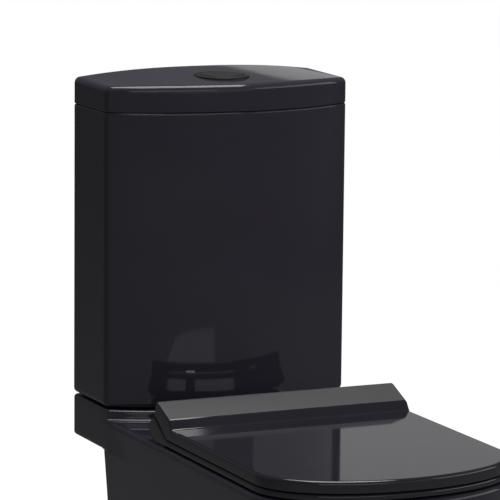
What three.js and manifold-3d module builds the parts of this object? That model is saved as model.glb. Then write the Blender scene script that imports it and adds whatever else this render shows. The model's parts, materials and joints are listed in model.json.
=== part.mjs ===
// Close coupled toilet: pan, cistern with its flush and fill valves, and a two-part seat.
// Millimetres. +X is to the right seen from the front, +Y points to the wall, +Z is up.
// While it is built, y = 0 is the wall side of the cistern and z = 0 is the floor.

import * as THREE from 'three';
import { mergeVertices } from 'three/addons/utils/BufferGeometryUtils.js';
import Module from 'manifold-3d';

const wasm = await Module();
wasm.setup();

// ---------------------------------------------------------------- driving dimensions

const GAP = 0.3; // between two pieces that touch
const RUN = 0.6; // between two pieces that move past each other

// cistern
const WIDTH = 364;
const CISTERN_SIDE = 122; // depth of the flat side, wall to front corner
const CISTERN_BOW = 53.5; // how far the curved front stands past the corners
const CISTERN_WALL = 9;
const CISTERN_FLOOR = 10;
const CISTERN_HEIGHT = 409;
const CISTERN_LIFT = 2; // rests this far above the ledge, on its coupling seal
const CORNER = 14;

// cistern lid
const LID_EDGE = 34; // height of the lid's side face
const LID_CROWN_REAR = 13;
const LID_CROWN_FRONT = 3.5;
const LID_CROWN_POWER = 3.4; // 2 is a parabola, higher is flatter with steeper sides
const LID_ROOF = 12;
const LID_LIP_DEPTH = 11;
const LID_LIP_WALL = 6;
const LID_LIP_CLEAR = 2;

// pan
const LEDGE_TOP = 400;
const LEDGE_HEIGHT = 59;
const LEDGE_PROUD = 6; // the ledge's corner stands this far in front of the cistern's
const LEDGE_BOW = 52;
const LEDGE_INSET = 1.5;
const LEDGE_WALL = 12;
const LEDGE_ROOF = 14;
const DECK_DROP = 14; // from the ledge's top down to the rim's deck
const PAN_DEPTH = 715;
const PAN_NOSE = 114; // length of the rounded front
const FOOT_BACK = 103; // the pedestal starts this far from the wall
const FOOT_NARROWING = 0.165; // the foot's width is smaller than the rim's by this share
const FOOT_SHORTENING = 0.22;
const CHINA = 10; // wall of the casting
const DECK_THICK = 15;
const ROUND_FRONT = 2.1; // exponent of the rounded fronts: 2 is an ellipse

// bowl and trap
const RIM_SIDE = 47; // flat of the rim beside the bowl
const RIM_FRONT = 43;
const BOWL_BEHIND_HINGE = 68; // the bowl starts this far in front of the hinge axis
const BOWL_DEPTH = 230;
const BOWL_BACK_SHIFT = 62; // the sump lies this far behind the rim opening's centre
const BOWL_SHRINK = 0.68;
const CHANNEL_WIDER = 13;
const CHANNEL_HEIGHT = 16;
const TRAP_RADIUS = 36;
const TRAP_CREST_DROP = 74; // below the deck
const TRAP_CREST_AHEAD = 16; // in front of the hinge axis
const TRAP_CREST_REACH = 36; // half the length of the crest's arch
const OUTLET_HEIGHT = 187;
const SPIGOT_RADIUS = 51;
const SPIGOT_BORE = 41;
const SPIGOT_END = -48;
const SPIGOT_STRAIGHT = 40;

// flush valve and coupling
const VALVE_Y = -98;
const VALVE_TAIL_RADIUS = 31;
const VALVE_TAIL_WALL = 5;
const VALVE_FLANGE_WIDER = 11; // than the tail
const VALVE_FLANGE = 5.5;
const WASHER = 3;
const BACKNUT_WIDER = 10; // than the tail
const BACKNUT_HEIGHT = 12;
const COUPLING_RECESS_CLEAR = 7; // round the back nut
const COUPLING_RECESS_DEPTH = 24;
const INLET_RADIUS = 36;
const DUCT_HALF_WIDTH = 34;
const DUCT_HEIGHT = 20;
const TOWER_INSET = 8; // from the valve flange's edge
const TOWER_WALL = 3;
const TOWER_HEIGHT = 218;
const TOWER_TOP = 6;
const OVERFLOW_RADIUS = 12;
const OVERFLOW_BORE = 10;
const PLUNGER_HEADROOM = 18; // between the overflow tube at rest and the tower's plate
const ROCKER_X = 12;
const ROCKER_WIDTH = 10;
const ROCKER_THICK = 6;
const ROCKER_RAISE = 15; // pivot above the tower's top plate
const ROCKER_FRONT_ARM = 25;
const ROCKER_REAR_ARM = 18;
const ROCKER_STUB = 2.6;
const CHEEK_RUN = 1.5; // rocker to the tower's cheeks
const CHEEK_THICK = 4;
const WINDOW_HALF = 19; // of the tower's four windows

// button
const BUTTON_RADIUS = 29.5;
const BUTTON_THICK = 11;
const BUTTON_SPLIT = -6; // the line between the half and the full flush button
const BUTTON_STANDS = 0.7; // above the bezel
const BEZEL_RIM = 8.5; // the bezel's flange stands this far past the button
const BEZEL_FLANGE = 5;
const BEZEL_WALL = 2.5;
const BEZEL_SEAT = 3; // below the crown at the button's centre
const BEZEL_FLOOR = 3;
const SPRING_HEIGHT = 15;
const SPRING_RADIUS = 6.5;
const SPRING_WALL = 1.2;
const ROD_RADIUS = 2.5;
const ROD_REACH = 20; // the rods press the rockers this far in front of their pivot
const ROD_CLEAR = 2.2;
const LOCKNUT_WIDER = 3; // than the bezel
const LOCKNUT_HEIGHT = 8;

// bolts between cistern and pan
const BOLT_FROM_RECESS = 32; // bolt's centre to the edge of the coupling recess
const BOLT_Y = -84;
const BOLT_RADIUS = 4;
const BOLT_HOLE_CLEAR = 2.5;
const BOLT_HEAD = 8;
const BOLT_WASHER_RADIUS = 15;
const WING_NUT_RADIUS = 8;
const WING_NUT_HEIGHT = 10;
const WING_SPAN = 34;

// fill valve
const FLOAT_SIDE_CLEAR = 9; // float to the cistern's side wall
const FILL_Y = -57;
const FILL_SHANK = 10;
const FILL_SHANK_DROP = 52; // below the cistern's underside
const FILL_FLANGE_RADIUS = 18;
const FILL_FLANGE = 5;
const FILL_COLUMN = 12;
const FILL_HEAD_RADIUS = 20;
const FILL_HEAD_HEIGHT = 34;
const FILL_TOP_CLEAR = 62; // head below the cistern's rim
const FLOAT_RADIUS = 32;
const FLOAT_HEIGHT = 68;
const FLOAT_TRAVEL = 10;
const FLOAT_BELOW_HEAD = 30;
const LEVER_ARM = 40; // from the lever's pivot to its link
const LEVER_THICK = 5;
const LINK_RADIUS = 1.8;
const LINK_SLOT = 12;

// seat
const SEAT_SIDE_INSET = 5; // the pan's rim shows this much beside the seat
const SEAT_FRONT_INSET = 4;
const SEAT_NOSE = 111;
const RING_BOTTOM = 2; // above the deck
const RING_EDGE = 8.2; // height of the ring's outer edge
const RING_CROWN = 5;
const RING_SIDE = 59; // width of the ring beside its hole
const RING_FRONT = 51;
const RING_REAR = 100; // from the hinge axis to the hole
const RING_CROWN_INSET = 18;
const LID_GAP = 1.3; // between the ring's and the seat lid's edges
const SEAT_LID_EDGE = 15.8;
const SEAT_LID_ROOF = 6;
const SEAT_SKIN = 5;
const HINGE_AHEAD = 104; // hinge axis in front of the ledge
const HINGE_RISE = 38; // hinge axis above the deck
const HINGE_X = 77.5;
const HINGE_POST_WIDTH = 20;
const HINGE_BARREL = 9;
const HINGE_PIN = 3;
const HINGE_PLATE_RADIUS = 22;
const HINGE_PLATE = 5;
const HINGE_STUD = 4;
const HINGE_STUD_HOLE = 7;
const HINGE_STUD_DROP = 48;
const KNUCKLE = 6; // radius of the seat's own hinge barrels
const EAR = 12; // width of one barrel
const BLOCK_TOP_REAR = 19; // the raised rear block, above the hinge axis
const BLOCK_TOP_FRONT = 2;
const BLOCK_LENGTH = 48;
const BLOCK_FOOT = 57;
const RING_REAR_CLEAR = 7; // the ring's rear turns under the hinge this far above the deck
const PART_LINE_FRONT = 40; // where the raised parting line meets the flat one
const RING_BUFFER = { half: 7, halfLength: 12, side: 29, frontSide: 37, rear: 116, front: 91 };
const LID_BUFFER = { half: 6, x: 60, front: 35 };

// fixings at the foot
const BRACKET_AHEAD = 93; // in front of the pedestal's rear
const BRACKET_SIZE = 34;
const BRACKET_THICK = 3;
const FIXING_HEIGHT = 22;
const FIXING_RADIUS = 3;
const FIXING_HEAD = 6;
const CAP_RADIUS = 10;

// ---------------------------------------------------------------- levels worked out from these

const HALF = WIDTH / 2;
const DECK = LEDGE_TOP - DECK_DROP;
const DECK_UNDERSIDE = DECK - DECK_THICK;
const PAN_STRAIGHT = PAN_DEPTH - PAN_NOSE;
const SEAT_HALF_WIDTH = HALF - SEAT_SIDE_INSET;
const SEAT_FRONT = PAN_DEPTH - SEAT_FRONT_INSET;
const SEAT_STRAIGHT = SEAT_FRONT - SEAT_NOSE;
const HINGE_Y = -(CISTERN_SIDE + LEDGE_PROUD + LEDGE_BOW + HINGE_AHEAD);
const BOWL_HALF_WIDTH = HALF - RIM_SIDE;
const BOWL_HALF_LENGTH = (PAN_DEPTH - RIM_FRONT + HINGE_Y - BOWL_BEHIND_HINGE) / 2;
const BOWL_CENTRE = -(PAN_DEPTH - RIM_FRONT - BOWL_HALF_LENGTH);
const BOWL_FLOOR = DECK - BOWL_DEPTH;
const SUMP_Y = BOWL_CENTRE + BOWL_BACK_SHIFT;
const TRAP_CREST = DECK - TRAP_CREST_DROP;
const TRAP_CREST_Y = HINGE_Y - TRAP_CREST_AHEAD;
const RING_HOLE_HALF_WIDTH = SEAT_HALF_WIDTH - RING_SIDE;
const RING_HOLE_HALF_LENGTH = (SEAT_FRONT - RING_FRONT + HINGE_Y - RING_REAR) / 2;
const RING_HOLE_CENTRE = -(SEAT_FRONT - RING_FRONT - RING_HOLE_HALF_LENGTH);
const VALVE_BORE = VALVE_TAIL_RADIUS - VALVE_TAIL_WALL;
const VALVE_FLANGE_RADIUS = VALVE_TAIL_RADIUS + VALVE_FLANGE_WIDER;
const BACKNUT_RADIUS = VALVE_TAIL_RADIUS + BACKNUT_WIDER;
const COUPLING_RECESS_RADIUS = BACKNUT_RADIUS + COUPLING_RECESS_CLEAR;
const TOWER_RADIUS = VALVE_FLANGE_RADIUS - TOWER_INSET;
const BEZEL_RADIUS = BUTTON_RADIUS + BEZEL_RIM;
const LOCKNUT_RADIUS = BEZEL_RADIUS + LOCKNUT_WIDER;
const BOLT_HOLE = BOLT_RADIUS + BOLT_HOLE_CLEAR;
const RING_REAR_RADIUS = HINGE_RISE - RING_REAR_CLEAR;
const BOLT_X = COUPLING_RECESS_RADIUS + BOLT_FROM_RECESS;
const FILL_X = -(HALF - CISTERN_WALL - FLOAT_RADIUS - FLOAT_SIDE_CLEAR);
const BRACKET_Y = -(FOOT_BACK + BRACKET_AHEAD);
const LEDGE_BOTTOM = LEDGE_TOP - LEDGE_HEIGHT;
const CISTERN_BOTTOM = LEDGE_TOP + CISTERN_LIFT;
const CISTERN_TOP = CISTERN_BOTTOM + CISTERN_HEIGHT;
const TANK_FLOOR = CISTERN_BOTTOM + CISTERN_FLOOR;
const LID_BOTTOM = CISTERN_TOP + GAP;
const LID_SHOULDER = LID_BOTTOM + LID_EDGE;
const CISTERN_DEPTH = CISTERN_SIDE + CISTERN_BOW;
const BUTTON_Y = VALVE_Y;
const crownAt = (y) => LID_CROWN_REAR + (LID_CROWN_FRONT - LID_CROWN_REAR) * (-y / CISTERN_DEPTH);
const BEZEL_BOTTOM = LID_SHOULDER + crownAt(BUTTON_Y) - BEZEL_SEAT + GAP;
const BEZEL_TOP = BEZEL_BOTTOM + BEZEL_FLANGE;
const LID_CEILING = BEZEL_BOTTOM - GAP - LID_ROOF;
const BUTTON_TOP = BEZEL_TOP + BUTTON_STANDS;
const BUTTON_BOTTOM = BUTTON_TOP - BUTTON_THICK;
const GUIDE_TOP = BUTTON_BOTTOM - SPRING_HEIGHT - 2 * GAP;
const BEZEL_TUBE = BUTTON_RADIUS + RUN + BEZEL_WALL;
const VALVE_FLANGE_BOTTOM = TANK_FLOOR + WASHER + 2 * GAP;
const VALVE_FLANGE_TOP = VALVE_FLANGE_BOTTOM + VALVE_FLANGE;
const TOWER_BOTTOM = VALVE_FLANGE_TOP + GAP;
const TOWER_PLATE = TOWER_BOTTOM + TOWER_HEIGHT;
const ROCKER_Z = TOWER_PLATE + TOWER_TOP + ROCKER_RAISE;
const FILL_HEAD_BOTTOM = CISTERN_TOP - FILL_TOP_CLEAR - FILL_HEAD_HEIGHT;
const HINGE_Z = DECK + HINGE_RISE;
const RING_UNDER = DECK + RING_BOTTOM;
const RING_TOP = RING_UNDER + RING_EDGE;
const SEAT_LID_UNDER = RING_TOP + LID_GAP;
const SEAT_LID_TOP = SEAT_LID_UNDER + SEAT_LID_EDGE;
const SEAT_LID_CEILING = SEAT_LID_TOP - SEAT_LID_ROOF;
const MIRROR = [['left', -1], ['right', 1]];

// ---------------------------------------------------------------- solids

// Makes a closed body of a geometry, with its shared vertices merged and its faces turned outward.
function solid(geometry) {
  const bare = geometry.clone();
  bare.deleteAttribute('normal');
  bare.deleteAttribute('uv');
  const merged = mergeVertices(bare, 1e-4);
  const place = merged.attributes.position;
  const corners = merged.index.array;
  const kept = [];
  let volume = 0;
  const [a, b, c] = [new THREE.Vector3(), new THREE.Vector3(), new THREE.Vector3()];
  for (let i = 0; i < corners.length; i += 3) {
    const [p, q, r] = [corners[i], corners[i + 1], corners[i + 2]];
    if (p === q || q === r || r === p) continue;
    kept.push(p, q, r);
    a.fromBufferAttribute(place, p);
    b.fromBufferAttribute(place, q);
    c.fromBufferAttribute(place, r);
    volume += a.dot(b.cross(c));
  }
  if (volume < 0) kept.reverse();
  const vertProperties = new Float32Array(place.array);
  return new wasm.Manifold(new wasm.Mesh({ numProp: 3, vertProperties, triVerts: new Uint32Array(kept) }));
}

const join = (first, ...others) => others.reduce((sum, next) => sum.add(next), first);
const cut = (base, ...tools) => tools.reduce((rest, tool) => rest.subtract(tool), base);
const common = (first, ...others) => others.reduce((part, next) => part.intersect(next), first);

function geometryOf(body) {
  const mesh = body.getMesh();
  const geometry = new THREE.BufferGeometry();
  geometry.setAttribute('position', new THREE.BufferAttribute(new Float32Array(mesh.vertProperties), 3));
  geometry.setIndex(new THREE.BufferAttribute(new Uint32Array(mesh.triVerts), 1));
  geometry.computeVertexNormals();
  return geometry;
}

// A plan outline raised from one level to another. bend may move each vertex.
function raise(shape, low, high, steps = 1, bend = null) {
  const geometry = new THREE.ExtrudeGeometry(shape, { depth: high - low, steps, bevelEnabled: false });
  geometry.translate(0, 0, low);
  if (bend) {
    const place = geometry.attributes.position;
    const point = new THREE.Vector3();
    for (let i = 0; i < place.count; i += 1) {
      point.fromBufferAttribute(place, i);
      bend(point);
      place.setXYZ(i, point.x, point.y, point.z);
    }
  }
  return solid(geometry);
}

// A side view, drawn as [y, z] points, made solid from one x to another.
function acrossX(points, left, right) {
  const shape = new THREE.Shape(points.map(([y, z]) => new THREE.Vector2(y, z)));
  const geometry = new THREE.ExtrudeGeometry(shape, { depth: right - left, bevelEnabled: false });
  const turn = new THREE.Matrix4().set(0, 0, 1, left, 1, 0, 0, 0, 0, 1, 0, 0, 0, 0, 0, 1);
  return solid(geometry.applyMatrix4(turn));
}

function box(left, right, front, back, low, high) {
  const geometry = new THREE.BoxGeometry(right - left, back - front, high - low);
  geometry.translate((left + right) / 2, (front + back) / 2, (low + high) / 2);
  return solid(geometry);
}

function upright(x, y, radius, low, high, sides = 24) {
  const geometry = new THREE.CylinderGeometry(radius, radius, high - low, sides);
  geometry.rotateX(Math.PI / 2).translate(x, y, (low + high) / 2);
  return solid(geometry);
}

function rodX(left, right, y, z, radius, sides = 20) {
  const geometry = new THREE.CylinderGeometry(radius, radius, right - left, sides);
  geometry.rotateZ(Math.PI / 2).translate((left + right) / 2, y, z);
  return solid(geometry);
}

// A turned piece about an upright axis, from [radius, z] points that close on themselves.
function turned(x, y, points, sides = 32) {
  const ring = [...points, points[0]].map(([radius, z]) => new THREE.Vector2(radius, z));
  const geometry = new THREE.LatheGeometry(ring, sides);
  geometry.rotateX(Math.PI / 2).translate(x, y, 0);
  return solid(geometry);
}

// A ring whose flat-sided bore is nowhere narrower than the stated inner radius.
function collar(x, y, inner, outer, low, high, sides = 32) {
  const bore = inner / Math.cos(Math.PI / sides);
  return turned(x, y, [[bore, low], [outer, low], [outer, high], [bore, high]], sides);
}

function tube(path, radius, sides, steps) {
  const section = new THREE.Shape().absarc(0, 0, radius, 0, 2 * Math.PI);
  const options = { steps, curveSegments: sides / 2, bevelEnabled: false, extrudePath: path };
  return solid(new THREE.ExtrudeGeometry(section, options));
}

// ---------------------------------------------------------------- outlines in plan

// Straight back and sides, and a front that bows out on one arc. inset moves every side inward.
function bowOutline(halfWidth, side, bow, corner, inset = 0) {
  const radius = (halfWidth ** 2 + bow ** 2) / (2 * bow);
  const centre = -(side + bow) + radius;
  const half = halfWidth - inset;
  const arc = radius - inset;
  const round = Math.max(corner - inset, 2);
  const back = -inset;
  const cornerY = centre - Math.sqrt(arc ** 2 - half ** 2);
  const turn = Math.asin((half - round) / arc);
  const start = new THREE.Vector2(-arc * Math.sin(turn), centre - arc * Math.cos(turn));
  const shape = new THREE.Shape();
  const backRound = Math.min(round, 6);
  shape.moveTo(-half + backRound, back);
  shape.quadraticCurveTo(-half, back, -half, back - backRound);
  shape.lineTo(-half, cornerY + round);
  shape.quadraticCurveTo(-half, cornerY, start.x, start.y);
  shape.absarc(0, centre, arc, -Math.PI / 2 - turn, -Math.PI / 2 + turn, false);
  shape.quadraticCurveTo(half, cornerY, half, cornerY + round);
  shape.lineTo(half, back - backRound);
  shape.quadraticCurveTo(half, back, half - backRound, back);
  return new THREE.Shape(dropRepeats(shape.getPoints(6)));
}

// Straight back and sides, and a front rounded on a flattened ellipse.
function roundFrontOutline(halfWidth, back, straight, front, corner, sides = 24) {
  const shape = new THREE.Shape();
  shape.moveTo(halfWidth - corner, back);
  shape.quadraticCurveTo(halfWidth, back, halfWidth, back - corner);
  const points = shape.getPoints(3);
  const mirrored = points.map((point) => new THREE.Vector2(-point.x, point.y)).reverse();
  const nose = [];
  for (let i = 0; i <= sides; i += 1) {
    const angle = Math.PI * i / sides;
    nose.push(superPoint(halfWidth, front - straight, angle, ROUND_FRONT).add(new THREE.Vector2(0, -straight)));
  }
  return new THREE.Shape(dropRepeats([...points, ...nose, ...mirrored]));
}

// A point of a flattened ellipse. angle 0 is on +X, and the angle runs towards -Y.
function superPoint(halfWidth, halfLength, angle, exponent) {
  const [across, along] = [Math.cos(angle), Math.sin(angle)];
  const x = Math.sign(across) * Math.abs(across) ** (2 / exponent) * halfWidth;
  const y = -Math.sign(along) * Math.abs(along) ** (2 / exponent) * halfLength;
  return new THREE.Vector2(x, y);
}

function ovalOutline(halfWidth, halfLength, centre, exponent = 2.2, sides = 32) {
  const points = [];
  for (let i = 0; i < sides; i += 1) {
    const point = superPoint(halfWidth, halfLength, 2 * Math.PI * i / sides, exponent);
    points.push(point.add(new THREE.Vector2(0, centre)));
  }
  return new THREE.Shape(points);
}

function dropRepeats(points) {
  const kept = points.filter((point, i) => i === 0 || point.distanceTo(points[i - 1]) > 1e-3);
  if (kept[0].distanceTo(kept[kept.length - 1]) < 1e-3) kept.pop();
  return kept;
}

// ---------------------------------------------------------------- pan

// The pedestal narrows and shortens from the rim down to the foot.
function taperToFoot(point) {
  const depth = THREE.MathUtils.clamp((DECK - point.z) / DECK, 0, 1);
  point.x *= 1 - FOOT_NARROWING * depth;
  point.y = -FOOT_BACK + (point.y + FOOT_BACK) * (1 - FOOT_SHORTENING * depth ** 1.6);
}

function pedestal(inset, low, high) {
  const shape = roundFrontOutline(HALF - inset, -FOOT_BACK - inset, PAN_STRAIGHT, PAN_DEPTH - inset, 8);
  return raise(shape, low, high, 6, taperToFoot);
}

// The bowl is the rim opening drawn in towards the sump. wall makes its outer side.
function bowl(wall, low, high) {
  const shape = ovalOutline(BOWL_HALF_WIDTH + wall, BOWL_HALF_LENGTH + wall, 0);
  return raise(shape, low, high, 8, (point) => {
    const depth = THREE.MathUtils.clamp((DECK - point.z) / (DECK - BOWL_FLOOR), 0, 1);
    const scale = 1 - BOWL_SHRINK * depth ** 2.3;
    point.x *= scale;
    point.y = BOWL_CENTRE + BOWL_BACK_SHIFT * depth ** 1.5 + point.y * scale;
  });
}

function trapPath() {
  const inlet = BOWL_FLOOR + TRAP_RADIUS + 1;
  const [rise, fall] = [(inlet + TRAP_CREST) / 2, (OUTLET_HEIGHT + TRAP_CREST) / 2];
  const spigotStart = SPIGOT_END - SPIGOT_STRAIGHT;
  const shoulder = TRAP_CREST - 20;
  const route = [[SUMP_Y - 2, inlet], [SUMP_Y + 40, inlet + 2], [TRAP_CREST_Y - 2 * TRAP_CREST_REACH, rise - 11],
    [TRAP_CREST_Y - TRAP_CREST_REACH, shoulder], [TRAP_CREST_Y, TRAP_CREST],
    [TRAP_CREST_Y + TRAP_CREST_REACH, shoulder], [TRAP_CREST_Y + 62, fall - 5],
    [TRAP_CREST_Y + 96, OUTLET_HEIGHT + 12], [spigotStart - 62, OUTLET_HEIGHT], [spigotStart, OUTLET_HEIGHT]];
  return new THREE.CatmullRomCurve3(route.map(([y, z]) => new THREE.Vector3(0, y, z)));
}

function alongY(radius, front, back, z, sides = 32) {
  const geometry = new THREE.CylinderGeometry(radius, radius, back - front, sides);
  geometry.translate(0, (front + back) / 2, z);
  return solid(geometry);
}

// The casting is made whole and then parted, so that its bowl and its trapway are pieces of their own.
function makePan() {
  const recessFloor = LEDGE_TOP - COUPLING_RECESS_DEPTH;
  const ductLow = DECK_UNDERSIDE - DUCT_HEIGHT;
  const ductEnd = BOWL_CENTRE + BOWL_HALF_LENGTH + CHINA / 2;
  const ledgeHalf = HALF - LEDGE_INSET;
  const ledgeShape = (inset) =>
    bowOutline(ledgeHalf, CISTERN_SIDE + LEDGE_PROUD, LEDGE_BOW, CORNER, inset);
  const channelLow = DECK_UNDERSIDE - CHANNEL_HEIGHT;
  const channel = (wall, low, high) => raise(ovalOutline(BOWL_HALF_WIDTH + CHANNEL_WIDER + wall,
    BOWL_HALF_LENGTH + CHANNEL_WIDER + wall, BOWL_CENTRE), low, high);
  const ductBlock = (wall, front, low, high) =>
    box(-DUCT_HALF_WIDTH - wall, DUCT_HALF_WIDTH + wall, front, VALVE_Y, low, high);
  const cup = (radius, low, high) => upright(0, VALVE_Y, radius, low, high, 32);
  const foot = pedestal(CHINA, -1, DECK_UNDERSIDE);

  const bowlOuter = (clear) => join(
    bowl(CHINA + clear, BOWL_FLOOR - CHINA - clear, DECK_UNDERSIDE + clear - GAP),
    channel(CHINA - 1 + clear, channelLow - CHINA - clear, DECK_UNDERSIDE + clear - GAP),
  );
  const trapOuter = (clear) => join(
    tube(trapPath(), TRAP_RADIUS + CHINA + clear, 16, 14),
    alongY(SPIGOT_RADIUS + clear, -FOOT_BACK - CHINA - clear, SPIGOT_END + clear, OUTLET_HEIGHT),
  );

  const skirt = cut(pedestal(0, 0, DECK), foot);
  const ledge = cut(
    raise(ledgeShape(0), LEDGE_BOTTOM, LEDGE_TOP),
    cut(raise(ledgeShape(LEDGE_WALL), LEDGE_BOTTOM - 1, LEDGE_TOP - LEDGE_ROOF), pedestal(0, 0, DECK)),
    foot,
  );
  const inlet = join(ductBlock(CHINA, ductEnd, ductLow - CHINA, DECK - 2),
    cup(COUPLING_RECESS_RADIUS + CHINA, ductLow - CHINA, LEDGE_TOP - 1));

  const inside = [
    bowl(0, BOWL_FLOOR, DECK + 0.01),
    raise(ovalOutline(BOWL_HALF_WIDTH, BOWL_HALF_LENGTH, BOWL_CENTRE), DECK - 3, DECK + 1),
    channel(0, channelLow, channelLow + CHANNEL_HEIGHT),
    tube(trapPath(), TRAP_RADIUS, 16, 14),
    alongY(SPIGOT_BORE, -FOOT_BACK - CHINA - 20, SPIGOT_END + 1, OUTLET_HEIGHT),
    ductBlock(0, ductEnd - 2 * CHINA, ductLow, ductLow + DUCT_HEIGHT),
    cup(INLET_RADIUS, ductLow, recessFloor + 1),
    cup(COUPLING_RECESS_RADIUS, recessFloor, LEDGE_TOP + 1),
    upright(FILL_X, FILL_Y, FILL_FLANGE_RADIUS + 2, LEDGE_BOTTOM, LEDGE_TOP + 1),
  ];
  for (const [, side] of MIRROR) {
    inside.push(upright(side * BOLT_X, BOLT_Y, BOLT_HOLE, LEDGE_BOTTOM, LEDGE_TOP + 1, 16));
    inside.push(upright(side * HINGE_X, HINGE_Y, HINGE_STUD_HOLE, DECK_UNDERSIDE - 1, DECK + 1, 16));
    inside.push(rodX(side > 0 ? 0 : -HALF, side > 0 ? HALF : 0, BRACKET_Y, FIXING_HEIGHT,
      FIXING_RADIUS + GAP, 12));
  }
  return {
    shell: cut(join(skirt, ledge, inlet), bowlOuter(GAP), trapOuter(GAP), ...inside),
    basin: cut(bowlOuter(0), ...inside),
    trapway: cut(trapOuter(0), bowlOuter(GAP), ...inside),
  };
}

// ---------------------------------------------------------------- cistern

const tankOutline = (inset) => bowOutline(HALF, CISTERN_SIDE, CISTERN_BOW, CORNER, inset);

function makeCistern() {
  const holes = [upright(0, VALVE_Y, VALVE_TAIL_RADIUS + RUN, CISTERN_BOTTOM - 1, TANK_FLOOR + 1, 32)];
  for (const [, side] of MIRROR) {
    holes.push(upright(side * BOLT_X, BOLT_Y, BOLT_HOLE, CISTERN_BOTTOM - 1, TANK_FLOOR + 1, 16));
  }
  holes.push(upright(FILL_X, FILL_Y, FILL_SHANK + RUN, CISTERN_BOTTOM - 1, TANK_FLOOR + 1, 20));
  const outer = raise(tankOutline(0), CISTERN_BOTTOM, CISTERN_TOP);
  return cut(outer, raise(tankOutline(CISTERN_WALL), TANK_FLOOR, CISTERN_TOP + 1), ...holes);
}

// The space under the lid's crowned top: an arch whose rise falls from the rear to the front.
function crownedSpace() {
  const reach = HALF + 10;
  const arch = new THREE.Shape();
  arch.moveTo(-reach, -100);
  arch.lineTo(reach, -100);
  const rise = (x) => 1 - Math.abs(x / HALF) ** LID_CROWN_POWER;
  for (let i = 0; i <= 28; i += 1) {
    const x = reach * (1 - i / 14);
    arch.lineTo(x, 20 + rise(x));
  }
  const length = CISTERN_DEPTH + 20;
  const geometry = new THREE.ExtrudeGeometry(arch, { depth: length, steps: 5, bevelEnabled: false });
  geometry.rotateX(Math.PI / 2).translate(0, 10, 0);
  const place = geometry.attributes.position;
  for (let i = 0; i < place.count; i += 1) {
    const level = place.getZ(i);
    const low = level < 0;
    const crown = crownAt(place.getY(i));
    place.setZ(i, low ? LID_BOTTOM - 50 : LID_SHOULDER + (level - 20) * crown);
  }
  return solid(geometry);
}

function makeCisternLid() {
  const lipOuter = CISTERN_WALL + LID_LIP_CLEAR;
  const lipInner = lipOuter + LID_LIP_WALL;
  const top = common(raise(tankOutline(0), LID_BOTTOM, LID_SHOULDER + 40), crownedSpace());
  const lip = raise(tankOutline(lipOuter), LID_BOTTOM - LID_LIP_DEPTH, LID_BOTTOM + 1);
  return cut(
    join(top, lip),
    raise(tankOutline(lipInner), LID_BOTTOM - LID_LIP_DEPTH - 1, LID_CEILING),
    upright(0, BUTTON_Y, BEZEL_TUBE + RUN, LID_CEILING - 1, LID_SHOULDER + 40, 40),
    upright(0, BUTTON_Y, BEZEL_RADIUS + RUN, BEZEL_BOTTOM - GAP, LID_SHOULDER + 40, 48),
  );
}

// ---------------------------------------------------------------- button

function makeBezel() {
  const bore = BUTTON_RADIUS + RUN;
  const ring = turned(0, BUTTON_Y, [[bore, GUIDE_TOP - 1], [BEZEL_TUBE, GUIDE_TOP - 1],
    [BEZEL_TUBE, BEZEL_BOTTOM], [BEZEL_RADIUS, BEZEL_BOTTOM], [BEZEL_RADIUS, BEZEL_TOP - 2],
    [BEZEL_RADIUS - 2.5, BEZEL_TOP], [bore, BEZEL_TOP]], 32);
  const floor = upright(0, BUTTON_Y, BEZEL_TUBE, GUIDE_TOP - BEZEL_FLOOR, GUIDE_TOP, 32);
  const holes = [-ROCKER_X, ROCKER_X].map((x) =>
    upright(x, BUTTON_Y - ROD_REACH, ROD_RADIUS + RUN, GUIDE_TOP - BEZEL_FLOOR - 1, GUIDE_TOP + 1, 16));
  return cut(join(ring, floor), ...holes);
}

function makeButton(left, right) {
  const disc = upright(0, BUTTON_Y, BUTTON_RADIUS, BUTTON_BOTTOM, BUTTON_TOP, 32);
  return common(disc, box(left, right, BUTTON_Y - 40, BUTTON_Y + 40, BUTTON_BOTTOM, BUTTON_TOP));
}

const makeRod = (x) => upright(x, BUTTON_Y - ROD_REACH, ROD_RADIUS,
  ROCKER_Z + ROCKER_THICK / 2 + ROD_CLEAR, BUTTON_BOTTOM - GAP, 12);

const makeSpring = (x) => collar(x, BUTTON_Y - ROD_REACH, SPRING_RADIUS - SPRING_WALL, SPRING_RADIUS,
  GUIDE_TOP + GAP, BUTTON_BOTTOM - GAP, 16);

const makeLocknut = () => collar(0, BUTTON_Y, BEZEL_TUBE + GAP, LOCKNUT_RADIUS,
  LID_CEILING - GAP - LOCKNUT_HEIGHT, LID_CEILING - GAP, 12);

// ---------------------------------------------------------------- flush valve

function makeValveBase() {
  const tailEnd = CISTERN_BOTTOM - BACKNUT_HEIGHT - 8;
  return turned(0, VALVE_Y, [[VALVE_BORE, tailEnd], [VALVE_TAIL_RADIUS, tailEnd],
    [VALVE_TAIL_RADIUS, VALVE_FLANGE_BOTTOM], [VALVE_FLANGE_RADIUS, VALVE_FLANGE_BOTTOM],
    [VALVE_FLANGE_RADIUS, VALVE_FLANGE_TOP], [VALVE_BORE, VALVE_FLANGE_TOP]]);
}

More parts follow.
